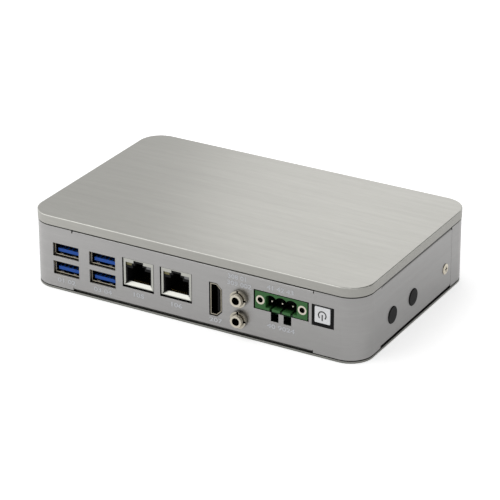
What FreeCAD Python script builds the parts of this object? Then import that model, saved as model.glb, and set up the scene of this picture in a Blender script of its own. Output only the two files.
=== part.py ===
"""Fanless industrial pc: folded shells between a machined lid and a base plate, boards and sockets inside.

The origin is the centre of the underside. X runs along the socket side, which faces -Y, and Z is up.
"""
import FreeCAD, Part
import math
import os
import re
import Sketcher

# Driving dimensions in mm: alias, value, what it is.
SIZES = [
    # enclosure
    ("case_width", 168.0, "lid length along X"),
    ("case_depth", 105.3, "lid depth along Y"),
    ("case_height", 35.5, "underside to top"),
    ("corner_radius", 11.2, "lid corner radius in plan"),
    ("lid_height", 4.3, "height of the lid's edge"),
    ("lid_overhang", 0.2, "lid edge beyond the shells"),
    ("lid_edge_round", 0.4, "rounding of the lid's top edge"),
    ("lid_roof", 2.4, "lid thickness over its pocket"),
    ("lid_seat_inset", 1.2, "lid edge to the seat that meets the shells"),
    ("shadow_gap", 0.6, "dark line between lid and shells"),
    ("sheet", 1.0, "shell sheet thickness"),
    ("bend_inside", 0.2, "inner radius of a folded flange"),
    ("flange_width", 4.0, "flange, from the shell's outer face"),
    ("front_run_end", 60.5, "end of the flanged stretch, front and back, from the middle"),
    ("side_run_start", 34.2, "front end of the flanged stretch on a side, ahead of the middle"),
    ("relief_width", 0.5, "relief notch at the end of an upper flange"),
    ("slit_width", 0.3, "slit at the end of a lower flange"),
    ("seam_place", 34.0, "seam between the shells, behind the middle"),
    ("seam_gap", 0.15, "gap in that seam"),
    ("tab_length", 13.5, "lap tab of the rear shell, ahead of the seam"),
    ("tab_root", 4.0, "lap tab behind the seam"),
    ("tab_bottom", 7.0, "lower edge of the lap tab"),
    ("tab_height", 13.0, "height of the lap tab"),
    ("base_rim", 0.9, "base plate thickness at its edge"),
    ("base_core", 1.6, "base plate thickness inside the shells"),
    ("base_gap", 0.5, "gap under the shells' corners"),
    ("fit_gap", 0.3, "clearance beside the base plate's step"),
    # posts and screws
    ("post_place", 29.0, "corner posts ahead of and behind the middle"),
    ("post_radius", 2.8, "corner post"),
    ("thread_radius", 1.5, "M3 thread"),
    ("thread_gap", 0.05, "screw shank to its hole"),
    ("base_screw_head", 2.9, "countersunk head radius"),
    ("base_screw_length", 7.0, "countersunk screw"),
    ("side_screw_head", 2.5, "side screw head radius"),
    ("side_screw_rise", 0.45, "side screw head height"),
    ("side_screw_length", 3.6, "side screw shank"),
    ("side_screw_place", 28.2, "side screw behind the middle"),
    ("side_level", 12.6, "height of the side screws and plugs"),
    ("recess_arm", 1.3, "half length of a cross recess"),
    ("recess_width", 0.5, "width of a cross recess"),
    ("recess_depth", 0.6, "depth of a cross recess"),
    ("plug_head", 4.0, "hole plug head radius"),
    ("plug_rise", 0.35, "hole plug head height"),
    ("plug_edge", 0.2, "rounding of the plug's head"),
    ("plug_hole", 3.2, "radius of the hole under a plug"),
    ("plug_length", 3.0, "plug skirt behind the shell's outer face"),
    ("plug_wall", 0.8, "plug skirt thickness"),
    ("front_plug_place", -23.8, "front plug along Y"),
    ("rear_plug_place", -4.0, "rear plug along Y"),
    # mainboard
    ("board_side_gap", 0.7, "mainboard edge to the corner posts"),
    ("board_rear_gap", 1.9, "mainboard edge to the rear flange"),
    ("board_gap", 0.6, "mainboard edge behind the front wall"),
    ("board_thickness", 1.6, "mainboard and power board"),
    ("board_rise", 3.0, "standoff height under the mainboard"),
    ("board_screw_side", 6.0, "mainboard screws from the board's side edge"),
    ("board_screw_front", 26.65, "front mainboard screws behind the board's front edge"),
    ("board_screw_rear", 5.35, "rear mainboard screws ahead of the board's rear edge"),
    ("standoff_radius", 2.6, "standoff"),
    ("board_screw_head", 2.6, "mainboard screw head radius"),
    ("board_screw_rise", 1.7, "mainboard screw head height"),
    # socket row: the places along X below are for a flat front of this half length, and spread with it
    ("socket_row", 72.8, "half length of the flat front that the places belong to"),
    # dual USB sockets
    ("usb_first_x", -64.3, "first USB stack along X"),
    ("usb_pitch", 19.2, "one USB stack to the next"),
    ("usb_width", 13.1, "USB shell width"),
    ("usb_height", 5.7, "USB shell height at each port"),
    ("usb_lower_z", 10.8, "middle of the lower port"),
    ("usb_upper_z", 19.6, "middle of the upper port"),
    ("usb_depth", 17.5, "USB stack front to back"),
    ("usb_port_depth", 10.0, "USB port front to back"),
    ("usb_sheet", 0.4, "USB shell sheet"),
    ("usb_recess", 1.3, "USB shell behind the front face"),
    ("usb_margin", 0.28, "front cut-out beside and above a USB port"),
    ("usb_margin_low", 0.45, "front cut-out below a USB port"),
    ("tongue_width", 11.0, "USB tongue width"),
    ("tongue_height", 1.6, "USB tongue thickness"),
    ("tongue_lift", 0.7, "USB tongue over the port's floor"),
    ("tongue_recess", 1.0, "USB tongue behind the shell's mouth"),
    ("contact_sheet", 0.15, "contact strip thickness"),
    # network sockets
    ("lan_first_x", -26.5, "first network socket along X"),
    ("lan_pitch", 19.4, "one network socket to the next"),
    ("lan_width", 15.3, "network shield width"),
    ("lan_top", 23.7, "top of the network shield"),
    ("lan_floor", 10.7, "lower edge of the shield's funnel lip"),
    ("lan_depth", 21.3, "network socket front to back"),
    ("lan_recess", 0.4, "shield behind the front face"),
    ("lan_sheet", 0.4, "shield sheet"),
    ("lan_cut_width", 16.25, "front cut-out at a network socket"),
    ("lan_cut_bottom", 9.8, "lower edge of that cut-out"),
    ("lan_cut_top", 24.0, "upper edge of that cut-out"),
    ("lan_mouth_width", 13.1, "opening in the shield's face"),
    ("lan_mouth_bottom", 12.4, "lower edge of the opening"),
    ("lan_mouth_top", 22.0, "upper edge of the opening"),
    ("lan_latch_width", 5.0, "gap for the plug's latch in the shield's face"),
    ("lan_lip_depth", 1.5, "funnel lip front to back"),
    ("lan_lip_lap", 0.2, "lip joined to the shield's face at each side"),
    ("lan_plug_width", 11.9, "plug space width"),
    ("lan_plug_height", 6.9, "plug space height"),
    ("lan_plug_depth", 13.0, "plug space depth"),
    ("lan_key_width", 6.3, "latch channel width"),
    ("lan_key_height", 1.6, "latch channel height"),
    ("lan_lamp_width", 2.9, "lamp window width"),
    ("lan_lamp_height", 1.6, "lamp window height"),
    ("lan_contact_pitch", 1.02, "contact to contact"),
    # HDMI socket, on its side
    ("hdmi_x", 12.95, "HDMI socket along X"),
    ("hdmi_z", 14.8, "middle of the HDMI socket"),
    ("hdmi_width", 5.5, "HDMI shell, short way"),
    ("hdmi_length", 14.9, "HDMI shell, long way"),
    ("hdmi_chamfer", 2.3, "HDMI corner on its narrow side"),
    ("hdmi_sheet", 0.4, "HDMI shell sheet"),
    ("hdmi_recess", 0.3, "HDMI shell behind the front face"),
    ("hdmi_depth", 11.5, "HDMI socket front to back"),
    ("hdmi_port_depth", 7.0, "HDMI port depth"),
    ("hdmi_tail", 2.5, "HDMI core behind its shell"),
    ("hdmi_margin", 0.5, "front cut-out round the HDMI shell"),
    ("hdmi_tongue", 1.0, "HDMI tongue thickness"),
    # audio jacks
    ("audio_x", 24.9, "audio jacks along X"),
    ("audio_lower_z", 8.6, "axis of the lower jack"),
    ("audio_upper_z", 18.5, "axis of the upper jack"),
    ("audio_width", 9.0, "audio body width"),
    ("audio_depth", 14.0, "audio body front to back"),
    ("audio_head_room", 4.0, "audio body over the upper axis"),
    ("jack_bore", 1.8, "jack bore radius"),
    ("barrel_radius", 2.8, "jack barrel radius"),
    ("barrel_reach", 3.7, "barrel in front of the front face"),
    ("spigot_radius", 2.3, "barrel inside the jack body"),
    ("spigot_length", 5.0, "barrel inside the jack body"),
    ("barrel_hole_gap", 0.3, "front wall hole round a barrel"),
    ("ring_nut_radius", 3.9, "ring nut"),
    ("ring_nut_height", 2.0, "ring nut thickness"),
    ("ring_nut_slot", 1.0, "slot across a ring nut"),
    ("ring_nut_slot_depth", 0.7, "depth of that slot"),
    # power board
    ("power_board_top", 14.7, "top of the power board"),
    ("power_board_side_gap", 1.7, "left edge of the power board beside the audio body"),
    ("power_board_inset", 0.5, "right edge of the power board inside the mainboard's"),
    ("power_board_depth", 24.0, "power board along Y"),
    ("power_board_gap", 2.5, "power board edge behind the front wall"),
    ("small_standoff", 2.2, "power board standoff radius"),
    ("small_thread", 1.25, "M2.5 thread radius"),
    ("small_screw_head", 2.2, "M2.5 screw head radius"),
    ("small_screw_rise", 1.5, "M2.5 screw head height"),
    # terminal header
    ("dc_x", 45.2, "terminal header along X"),
    ("dc_z", 20.05, "middle of the terminal header"),
    ("dc_width", 25.4, "header width"),
    ("dc_height", 8.3, "header height"),
    ("dc_depth", 12.0, "header front to back"),
    ("dc_margin_x", 0.7, "front cut-out beside the header"),
    ("dc_margin_z", 0.4, "front cut-out above and below the header"),
    ("dc_pitch", 5.08, "pin to pin"),
    ("dc_axis_z", 20.15, "height of pins and flange nuts"),
    ("dc_port_width", 15.3, "header's plug space"),
    ("dc_port_bottom", 17.1, "floor of the plug space"),
    ("dc_port_depth", 9.0, "depth of the plug space"),
    ("dc_lobe_radius", 3.3, "round lobes over the pins"),
    ("dc_lobe_z", 20.05, "middle of those lobes"),
    ("dc_pin", 1.0, "pin square"),
    ("dc_pin_recess", 2.0, "pin tips behind the header's face"),
    ("dc_nut_radius", 2.1, "flange nut radius"),
    ("dc_nut_bore", 1.3, "flange nut thread"),
    ("dc_nut_length", 6.0, "flange nut length"),
    ("dc_slot_width", 3.8, "latch slot under the header"),
    ("dc_slot_height", 4.2, "height of that slot"),
    ("dc_slot_pitch", 6.2, "latch slot to latch slot"),
    # power button
    ("button_x", 65.3, "button along X"),
    ("button_z", 19.6, "middle of the button's surround"),
    ("button_cap_lift", 0.7, "cap over the surround's middle"),
    ("button_width", 10.5, "surround width"),
    ("button_height", 9.7, "surround height"),
    ("button_margin", 0.1, "front cut-out round the surround"),
    ("button_depth", 6.5, "surround front to back"),
    ("button_floor", 1.2, "surround's back wall"),
    ("cap_size", 7.4, "button cap, square"),
    ("cap_gap", 0.25, "cap to surround"),
    ("cap_reach", 0.5, "cap in front of the front face"),
    ("cap_depth", 3.6, "cap front to back"),
    ("cap_round", 0.35, "cap corner radius"),
    ("cap_edge", 0.2, "rounding of the cap's face"),
    ("symbol_radius", 2.1, "symbol ring radius"),
    ("symbol_stroke", 0.6, "symbol line width"),
    ("symbol_depth", 0.2, "symbol inlay depth"),
    ("symbol_bar", 2.9, "length of the symbol's bar"),
    ("symbol_bar_drop", 2.5, "lower end of the bar below the cap's middle"),
    ("symbol_gap_angle", 42.0, "half opening of the symbol's ring, degrees"),
    ("stem_radius", 1.2, "cap stem and switch plunger"),
    ("stem_gap", 0.3, "stem to its hole"),
    ("button_travel", 1.0, "travel of the cap"),
    ("switch_size", 6.0, "switch body, square"),
    ("switch_depth", 4.0, "switch body front to back"),
    ("plunger_reach", 1.6, "plunger in front of the switch body"),
    # inside
    ("processor_size", 26.0, "processor package, square"),
    ("processor_height", 1.6, "processor package"),
    ("processor_x", 29.0, "processor along X"),
    ("processor_y", 12.0, "processor along Y"),
    ("heat_block_size", 40.0, "heat block, square"),
    ("thermal_pad", 0.5, "thermal pad between heat block and lid"),
    ("memory_x", -29.0, "memory module along X"),
    ("memory_y", 14.0, "memory module's socket edge along Y"),
    ("memory_width", 67.6, "memory module"),
    ("memory_depth", 30.0, "memory module"),
    ("memory_lift", 2.6, "memory module over the mainboard"),
    ("card_thickness", 1.2, "memory and drive cards"),
    ("socket_height", 5.2, "memory socket"),
    ("socket_depth", 6.0, "memory socket front to back"),
    ("drive_x", -2.0, "drive module's socket edge along X"),
    ("drive_y", -6.0, "drive module along Y"),
    ("drive_width", 22.0, "drive module"),
    ("drive_length", 42.0, "drive module"),
    ("drive_lift", 2.0, "drive module over the mainboard"),
    ("drive_socket_height", 4.2, "drive socket"),
    ("drive_socket_depth", 8.0, "drive socket front to back"),
    ("cell_x", -57.0, "coin cell along X"),
    ("cell_y", -10.0, "coin cell along Y"),
    ("cell_radius", 10.0, "coin cell"),
    ("cell_height", 3.2, "coin cell"),
    ("holder_wall", 1.0, "coin cell holder wall"),
    ("coil_size", 7.0, "inductor, square"),
    ("coil_height", 4.0, "inductor"),
    ("coil_pitch", 9.0, "inductor to inductor"),
    ("can_radius", 3.15, "capacitor can"),
    ("can_height", 7.5, "capacitor can"),
    ("can_pitch", 8.0, "capacitor to capacitor"),
]

ALIASES = {alias for alias, value, note in SIZES}
WORD = re.compile(r"[a-z][a-z0-9_]*")
DOWN_Y = FreeCAD.Rotation(FreeCAD.Vector(1, 0, 0), 90)
UP_Y = FreeCAD.Rotation(FreeCAD.Vector(1, 0, 0), -90)
TO_RIGHT = FreeCAD.Rotation(FreeCAD.Vector(0, 1, 0), 90)
TO_LEFT = FreeCAD.Rotation(FreeCAD.Vector(0, 1, 0), -90)
OVER = FreeCAD.Rotation(FreeCAD.Vector(1, 0, 0), 180)
UPRIGHT = FreeCAD.Rotation()
CUT_OVER = 1.0  # how far a cutting solid runs past the face that it cuts

# Places that several pieces share, worked out from the sizes.
FRONT = "(lid_overhang - case_depth / 2)"
SIDE = "(case_width / 2 - lid_overhang)"
SHELL_RADIUS = "(corner_radius - lid_overhang)"
WALL_INSIDE = f"({FRONT} + sheet)"
BEND = "(sheet + bend_inside)"
SHELL_TOP = "(case_height - lid_height - shadow_gap)"
LID_UNDERSIDE = "(case_height - lid_height)"
POCKET_ROOF = "(case_height - lid_roof)"
BOARD_UNDERSIDE = "(base_core + board_rise)"
BOARD_TOP = f"({BOARD_UNDERSIDE} + board_thickness)"
BOARD_FRONT = f"({WALL_INSIDE} + board_gap)"
CAP_Z = "(button_z + button_cap_lift)"
AUDIO_LEVELS = ("audio_lower_z", "audio_upper_z")
POST_X = f"({SIDE} - flange_width - fit_gap - post_radius)"
LID_RIM = "(lid_overhang + flange_width)"
ROW = "((case_width / 2 - corner_radius) / socket_row)"
HDMI_X = f"(hdmi_x * {ROW})"
AUDIO_X = f"(audio_x * {ROW})"
DC_X = f"(dc_x * {ROW})"
BUTTON_X = f"(button_x * {ROW})"
BOARD_HALF = f"({POST_X} - post_radius - board_side_gap)"
BOARD_REAR = f"(-{FRONT} - flange_width - board_rear_gap)"

doc = FreeCAD.newDocument("industrial_pc")
sheet = doc.addObject("Spreadsheet::Sheet", "Sizes")
for row, (alias, value, note) in enumerate(SIZES, start=1):
    sheet.set(f"A{row}", note)
    sheet.set(f"B{row}", str(value))
    sheet.setAlias(f"B{row}", alias)
doc.recompute()

nodes = []


def linked(text):
    """An expression with each size's name pointed at its cell."""
    def cell(word):
        return f"Sizes.{word.group()}" if word.group() in ALIASES else word.group()

    return WORD.sub(cell, str(text))


def size(text):
    """What an expression comes to now."""
    return float(sheet.evalExpression(linked(text)))


def bind(item, **values):
    """Tie properties of an object to expressions."""
    for name, text in values.items():
        item.setExpression(name, linked(text))
    return item


def place(item, x="0", y="0", z="0", turn=UPRIGHT):
    """Put an object at expressions for its position, turned by a fixed rotation."""
    item.Placement = FreeCAD.Placement(FreeCAD.Vector(0, 0, 0), turn)
    for axis, text in zip("xyz", (x, y, z)):
        item.setExpression(f"Placement.Base.{axis}", linked(text))
    return item


def keep(item, label):
    """Name an object as a sub-part that is written to a file of its own."""
    item.Label = label
    nodes.append(item)
    return item


def box(x, y, z, length, width, height):
    """A box from its lowest corner."""
    item = doc.addObject("Part::Box", "box")
    bind(item, Length=length, Width=width, Height=height)
    return place(item, x, y, z)


def mid_box(x, y, z, length, width, height):
    """A box whose middle along X is given."""
    return box(f"({x}) - ({length}) / 2", y, z, length, width, height)


def cylinder(radius, height, x="0", y="0", z="0", turn=UPRIGHT):
    item = doc.addObject("Part::Cylinder", "cylinder")
    bind(item, Radius=radius, Height=height)
    return place(item, x, y, z, turn)


def cone(lower, upper, height, x="0", y="0", z="0", turn=UPRIGHT):
    item = doc.addObject("Part::Cone", "cone")
    bind(item, Radius1=lower, Radius2=upper, Height=height)
    return place(item, x, y, z, turn)


def fuse(*items):
    """Join solids into one."""
    item = doc.addObject("Part::MultiFuse", "fuse")
    item.Shapes = list(items)
    item.Refine = True
    return item


def cut(base, *tools):
    """Cut one or more solids away from another."""
    item = doc.addObject("Part::Cut", "cut")
    item.Base = base
    item.Tool = tools[0] if len(tools) == 1 else fuse(*tools)
    item.Refine = True
    return item


def shared_part(one, other):
    """Keep only what two solids share."""
    item = doc.addObject("Part::Common", "shared_part")
    item.Base = one
    item.Tool = other
    return item


def group(*items):
    """Keep like solids together without joining them."""
    item = doc.addObject("Part::Compound", "group")
    item.Links = list(items)
    return item


def edges_at(shape, axis, level):
    """Names of the edges that lie wholly at one level along an axis."""
    names = []
    for number, edge in enumerate(shape.Edges, start=1):
        bounds = edge.BoundBox
        low = getattr(bounds, f"{axis}Min")
        high = getattr(bounds, f"{axis}Max")
        if abs(low - level) < 1e-4 and abs(high - level) < 1e-4:
            names.append(f"Edge{number}")
    return names


class Body:
    """A PartDesign body, whose sketches are drawn with corners at expressions."""

    def __init__(self, label=None):
        self.body = doc.addObject("PartDesign::Body", "body")
        self.volume = 0.0
        if label:
            keep(self.body, label)

    def sketch(self, role, level="0", loops=(), circles=()):
        """Closed loops and circles on an origin plane, raised by a level along the plane's normal."""
        drawing = self.body.newObject("Sketcher::SketchObject", "sketch")
        plane = next(item for item in self.body.Origin.OriginFeatures if item.Role == role)
        drawing.AttachmentSupport = (plane, [""])
        drawing.MapMode = "FlatFace"
        drawing.setExpression("AttachmentOffset.Base.z", linked(level))
        for loop in loops:
            self.draw_loop(drawing, loop)
        for across, up, radius in circles:
            centre = FreeCAD.Vector(size(across), size(up), 0)
            circle = Part.Circle(centre, FreeCAD.Vector(0, 0, 1), size(radius))
            index = drawing.addGeometry(circle)
            self.hold(drawing, index, 3, across, up)
            self.measure(drawing, Sketcher.Constraint("Radius", index, size(radius)), radius)
        return drawing

    def measure(self, drawing, constraint, text):
        """Add a constraint and tie its value to an expression."""
        index = drawing.addConstraint(constraint)
        drawing.renameConstraint(index, f"size_{index}")
        drawing.setExpression(f"Constraints.size_{index}", linked(text))

    def hold(self, drawing, index, point, across, up):
        """Hold one point of a sketched line or circle at expressions."""
        for kind, text in (("DistanceX", across), ("DistanceY", up)):
            self.measure(drawing, Sketcher.Constraint(kind, -1, 1, index, point, size(text)), text)

    def draw_loop(self, drawing, corners):
        """A closed loop. Each corner is (across, up), or (across, up, radius, turn) where an arc leaves it.

        A turn of 1 runs anticlockwise and -1 clockwise, by less than half a circle.
        """
        ends = []
        for number, corner in enumerate(corners):
            following = corners[(number + 1) % len(corners)]
            here = FreeCAD.Vector(size(corner[0]), size(corner[1]), 0)
            there = FreeCAD.Vector(size(following[0]), size(following[1]), 0)
            if len(corner) == 2:
                index = drawing.addGeometry(Part.LineSegment(here, there))
                ends.append((index, 1, 2))
                continue
            radius = size(corner[2])
            turn = corner[3]
            chord = there - here
            aside = FreeCAD.Vector(-chord.y, chord.x, 0).normalize() * turn
            reach = math.sqrt(max(radius ** 2 - (chord.Length / 2) ** 2, 0))
            centre = here + chord / 2 + aside * reach
            first, last = (here, there) if turn > 0 else (there, here)
            start = math.atan2(first.y - centre.y, first.x - centre.x)
            stop = math.atan2(last.y - centre.y, last.x - centre.x)
            circle = Part.Circle(centre, FreeCAD.Vector(0, 0, 1), radius)
            index = drawing.addGeometry(Part.ArcOfCircle(circle, start, stop))
            ends.append((index, 1, 2) if turn > 0 else (index, 2, 1))
        for number, (index, begin, end) in enumerate(ends):
            other, other_begin, other_end = ends[(number + 1) % len(ends)]
            drawing.addConstraint(Sketcher.Constraint("Coincident", index, end, other, other_begin))
            self.hold(drawing, index, begin, corners[number][0], corners[number][1])
        for (index, begin, end), corner in zip(ends, corners):
            if len(corner) > 2:
                self.measure(drawing, Sketcher.Constraint("Radius", index, size(corner[2])), corner[2])

    def pad(self, drawing, length, backwards=False):
        feature = self.body.newObject("PartDesign::Pad", "pad")
        feature.Profile = drawing
        feature.Reversed = backwards
        bind(feature, Length=length)
        return self.settle(feature, 1)

    def pocket(self, drawing, length, backwards=False):
        feature = self.body.newObject("PartDesign::Pocket", "pocket")
        feature.Profile = drawing
        feature.Reversed = backwards
        bind(feature, Length=length)
        return self.settle(feature, -1)

    def round_edges(self, names, radius):
        carrier = self.body.Tip
        feature = self.body.newObject("PartDesign::Fillet", "fillet")
        feature.Base = (carrier, names)
        bind(feature, Radius=radius)
        return self.settle(feature, -1)

    def settle(self, feature, sense):
        """Rebuild, and stop if a feature that should add or take away material did neither."""
        before = self.volume
        doc.recompute()
        self.volume = self.body.Shape.Volume
        if (self.volume - before) * sense <= 0:
            raise RuntimeError(f"{self.body.Label}: {feature.Name} changed nothing")
        return feature


def round_rect(half_x, half_y, radius, mid_x="0", mid_y="0"):
    """A loop for a rectangle with round corners, anticlockwise from the lower left."""
    left = f"({mid_x}) - ({half_x})"
    right = f"({mid_x}) + ({half_x})"
    low = f"({mid_y}) - ({half_y})"
    high = f"({mid_y}) + ({half_y})"
    return [
        (left, f"{low} + ({radius})", radius, 1),
        (f"{left} + ({radius})", low),
        (f"{right} - ({radius})", low, radius, 1),
        (right, f"{low} + ({radius})"),
        (right, f"{high} - ({radius})", radius, 1),
        (f"{right} - ({radius})", high),
        (f"{left} + ({radius})", high, radius, 1),
        (left, f"{high} - ({radius})"),
    ]


def rect(left, low, wide, high):
    """A loop for a plain rectangle."""
    right = f"({left}) + ({wide})"
    top = f"({low}) + ({high})"
    return [(left, low), (right, low), (right, top), (left, top)]


def mirrored_places(x, y):
    """The four corners at a distance from the middle."""
    return [(f"{sx} * ({x})", f"{sy} * ({y})") for sx in (-1, 1) for sy in (-1, 1)]


def screw(head, rise, shank, length, flat=False):
    """A screw along +Z with its head's seat at the origin and a cross recess in the head."""
    if flat:
        top = cone(shank, head, rise, z=f"-({rise})")
        recess_top = "0"
    else:
        top = fuse(cylinder(head, f"({rise}) * 0.6"), cone(head, f"({head}) * 0.72", f"({rise}) * 0.4",
                                                           z=f"({rise}) * 0.6"))
        recess_top = rise
    solid = fuse(top, cylinder(shank, length, turn=OVER))
    low = f"({recess_top}) - recess_depth"
    arms = [
        box("-recess_arm", "-recess_width / 2", low, "2 * recess_arm", "recess_width", "recess_depth * 2"),
        box("-recess_width / 2", "-recess_arm", low, "recess_width", "2 * recess_arm", "recess_depth * 2"),
    ]
    return cut(solid, *arms)


# Enclosure

def make_base_plate():
    plate = Body("base_plate")
    outline = round_rect(SIDE, f"-{FRONT}", SHELL_RADIUS)
    plate.pad(plate.sketch("XY_Plane", loops=[outline]), "base_rim")
    inset = "(sheet + fit_gap)"
    step = round_rect(f"{SIDE} - {inset}", f"-{FRONT} - {inset}", f"{SHELL_RADIUS} - {inset}")
    plate.pad(plate.sketch("XY_Plane", "base_rim", [step]), "base_core - base_rim")
    places = mirrored_places(POST_X, "post_place")
    holes = [(x, y, "thread_radius + 2 * thread_gap") for x, y in places]
    drawing = plate.sketch("XY_Plane", circles=holes)
    plate.pocket(drawing, "base_core", backwards=True)
    for x, y in places:
        sink = plate.body.newObject("PartDesign::SubtractiveCone", "countersink")
        bind(sink, Radius1="base_screw_head + thread_gap", Radius2="thread_radius + thread_gap",
             Height="base_core * 0.8")
        place(sink, x, y)
        plate.settle(sink, -1)


def make_top_cover():
    lid = Body("top_cover")
    outline = round_rect("case_width / 2", "case_depth / 2", "corner_radius")
    lid.pad(lid.sketch("XY_Plane", LID_UNDERSIDE, [outline]), "lid_height")
    lid.round_edges(edges_at(lid.body.Shape, "Z", size("case_height")), "lid_edge_round")
    inset = "(lid_overhang + lid_seat_inset)"
    seat = round_rect(f"case_width / 2 - {inset}", f"case_depth / 2 - {inset}", f"corner_radius - {inset}")
    lid.pad(lid.sketch("XY_Plane", LID_UNDERSIDE, [seat]), "shadow_gap", backwards=True)
    hollow = round_rect(f"case_width / 2 - {LID_RIM}", f"case_depth / 2 - {LID_RIM}",
                        f"corner_radius - {LID_RIM}")
    lid.pocket(lid.sketch("XY_Plane", SHELL_TOP, [hollow]), f"{POCKET_ROOF} - {SHELL_TOP}", backwards=True)


def wall_loop(sense, seam):
    """Plan of a shell's wall: a U whose closed side faces -Y for a sense of -1 and +Y for 1."""
    wall = f"{sense} * -{FRONT}"
    inner = f"({wall} - {sense} * sheet)"
    bend = f"({wall} - {sense} * {SHELL_RADIUS})"
    tip = f"({SIDE} - {SHELL_RADIUS})"
    outer_turn = (SHELL_RADIUS, -sense)
    inner_turn = (f"{SHELL_RADIUS} - sheet", sense)
    return [
        (f"-{SIDE}", seam),
        (f"-{SIDE}", bend, *outer_turn),
        (f"-{tip}", wall),
        (tip, wall, *outer_turn),
        (SIDE, bend),
        (SIDE, seam),
        (f"{SIDE} - sheet", seam),
        (f"{SIDE} - sheet", bend, *inner_turn),
        (tip, inner),
        (f"-{tip}", inner, *inner_turn),
        (f"sheet - {SIDE}", bend),
        (f"sheet - {SIDE}", seam),
    ]


def corner_loop(side, sense, run_end, side_end):
    """Plan of one corner of a shell's wall, on the side -1 or 1."""
    wall = f"{sense} * -{FRONT}"
    inner = f"({wall} - {sense} * sheet)"
    bend = f"({wall} - {sense} * {SHELL_RADIUS})"
    tip = f"{side} * ({SIDE} - {SHELL_RADIUS})"
    face = f"{side} * {SIDE}"
    inner_face = f"{side} * ({SIDE} - sheet)"
    return [
        (f"{side} * ({run_end})", wall),
        (tip, wall, SHELL_RADIUS, -side * sense),
        (face, bend),
        (face, side_end),
        (inner_face, side_end),
        (inner_face, bend, f"{SHELL_RADIUS} - sheet", side * sense),
        (tip, inner),
        (f"{side} * ({run_end})", inner),
    ]


def channel_loop(face, inward):
    """Section of a flanged stretch: a C with its back on the shell's outer face, folded in top and bottom."""
    low = "base_core"
    high = SHELL_TOP

    def at(depth):
        return f"{face} + {inward} * ({depth})"

    return [
        (at("flange_width"), low),
        (at(BEND), low, BEND, -inward),
        (at("0"), f"{low} + {BEND}"),
        (at("0"), f"{high} - {BEND}", BEND, -inward),
        (at(BEND), high),
        (at("flange_width"), high),
        (at("flange_width"), f"{high} - sheet"),
        (at(BEND), f"{high} - sheet", "bend_inside", inward),
        (at("sheet"), f"{high} - {BEND}"),
        (at("sheet"), f"{low} + {BEND}", "bend_inside", inward),
        (at(BEND), f"{low} + sheet"),
        (at("flange_width"), f"{low} + sheet"),
    ]


def make_shell(label, sense, seam):
    """The walls that both shells share: flat wall, corners, and folded flanges along the long side."""
    shell = Body(label)
    web_low = f"(base_core + {BEND})"
    web_high = f"({SHELL_TOP} - {BEND})"
    wall = shell.sketch("XY_Plane", web_low, [wall_loop(sense, seam)])
    shell.pad(wall, f"{web_high} - {web_low}")
    side_end = {"upper": seam, "lower": seam}
    if sense < 0:
        side_end = {"upper": "-side_run_start - relief_width", "lower": "-side_run_start - slit_width"}
    for side in (-1, 1):
        upper = corner_loop(side, sense, "front_run_end + relief_width", side_end["upper"])
        shell.pad(shell.sketch("XY_Plane", web_high, [upper]), BEND)
        lower = corner_loop(side, sense, "front_run_end + slit_width", side_end["lower"])
        lower_drawing = shell.sketch("XY_Plane", "base_rim + base_gap", [lower])
        shell.pad(lower_drawing, f"{web_low} - base_rim - base_gap")
    section = channel_loop(f"{sense} * -{FRONT}", -sense)
    shell.pad(shell.sketch("YZ_Plane", "-front_run_end", [section]), "2 * front_run_end")
    return shell


def make_front_shell():
    shell = make_shell("front_shell", -1, "seam_place")
    for side in (-1, 1):
        section = channel_loop(f"{side} * {SIDE}", -side)
        run = shell.sketch("XZ_Plane", "side_run_start", [section])
        shell.pad(run, "side_run_start + seam_place - relief_width", backwards=True)
    shell.pocket(front_cut_outs(shell), f"sheet + 2 * {BEND}")
    side_holes = [("side_screw_place", "side_level", "thread_radius + 4 * thread_gap"),
                  ("front_plug_place", "side_level", "plug_hole"),
                  ("rear_plug_place", "side_level", "plug_hole")]
    drawing = shell.sketch("YZ_Plane", f"{SIDE} + {CUT_OVER}", circles=side_holes)
    shell.pocket(drawing, f"2 * ({SIDE} + {CUT_OVER})")


def front_cut_outs(shell):
    """The openings in the front wall, drawn on a plane just in front of it."""
    loops = []
    for stack in (1, 2):
        for level in ("usb_lower_z", "usb_upper_z"):
            loops.append(rect(f"{usb_x(stack)} - usb_width / 2 - usb_margin",
                              f"{level} - usb_height / 2 - usb_margin_low",
                              "usb_width + 2 * usb_margin",
                              "usb_height + usb_margin + usb_margin_low"))
        loops.append(rect(f"{lan_x(stack)} - lan_cut_width / 2", "lan_cut_bottom",
                          "lan_cut_width", "lan_cut_top - lan_cut_bottom"))
    loops.append(hdmi_loop("(-hdmi_margin)"))
    loops.append(terminal_cut_out())
    loops.append(rect(f"{BUTTON_X} - button_width / 2 - button_margin",
                      "button_z - button_height / 2 - button_margin",
                      "button_width + 2 * button_margin", "button_height + 2 * button_margin"))
    barrels = [(AUDIO_X, level, "barrel_radius + barrel_hole_gap") for level in AUDIO_LEVELS]
    return shell.sketch("XZ_Plane", f"-{FRONT} + {BEND}", loops, barrels)


def terminal_cut_out():
    """The opening at the terminal header, with two latch slots in its lower edge."""
    left = f"({DC_X} - dc_width / 2 - dc_margin_x)"
    right = f"({DC_X} + dc_width / 2 + dc_margin_x)"
    low = "(dc_z - dc_height / 2 - dc_margin_z)"
    high = "(dc_z + dc_height / 2 + dc_margin_z)"
    foot = f"({low} - dc_slot_height)"
    slots = []
    for side in (-1, 1):
        middle = f"{DC_X} + {side} * dc_slot_pitch / 2"
        slots += [(f"{middle} - dc_slot_width / 2", low), (f"{middle} - dc_slot_width / 2", foot),
                  (f"{middle} + dc_slot_width / 2", foot), (f"{middle} + dc_slot_width / 2", low)]
    return [(left, low), *slots, (right, low), (right, high), (left, high)]


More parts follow.
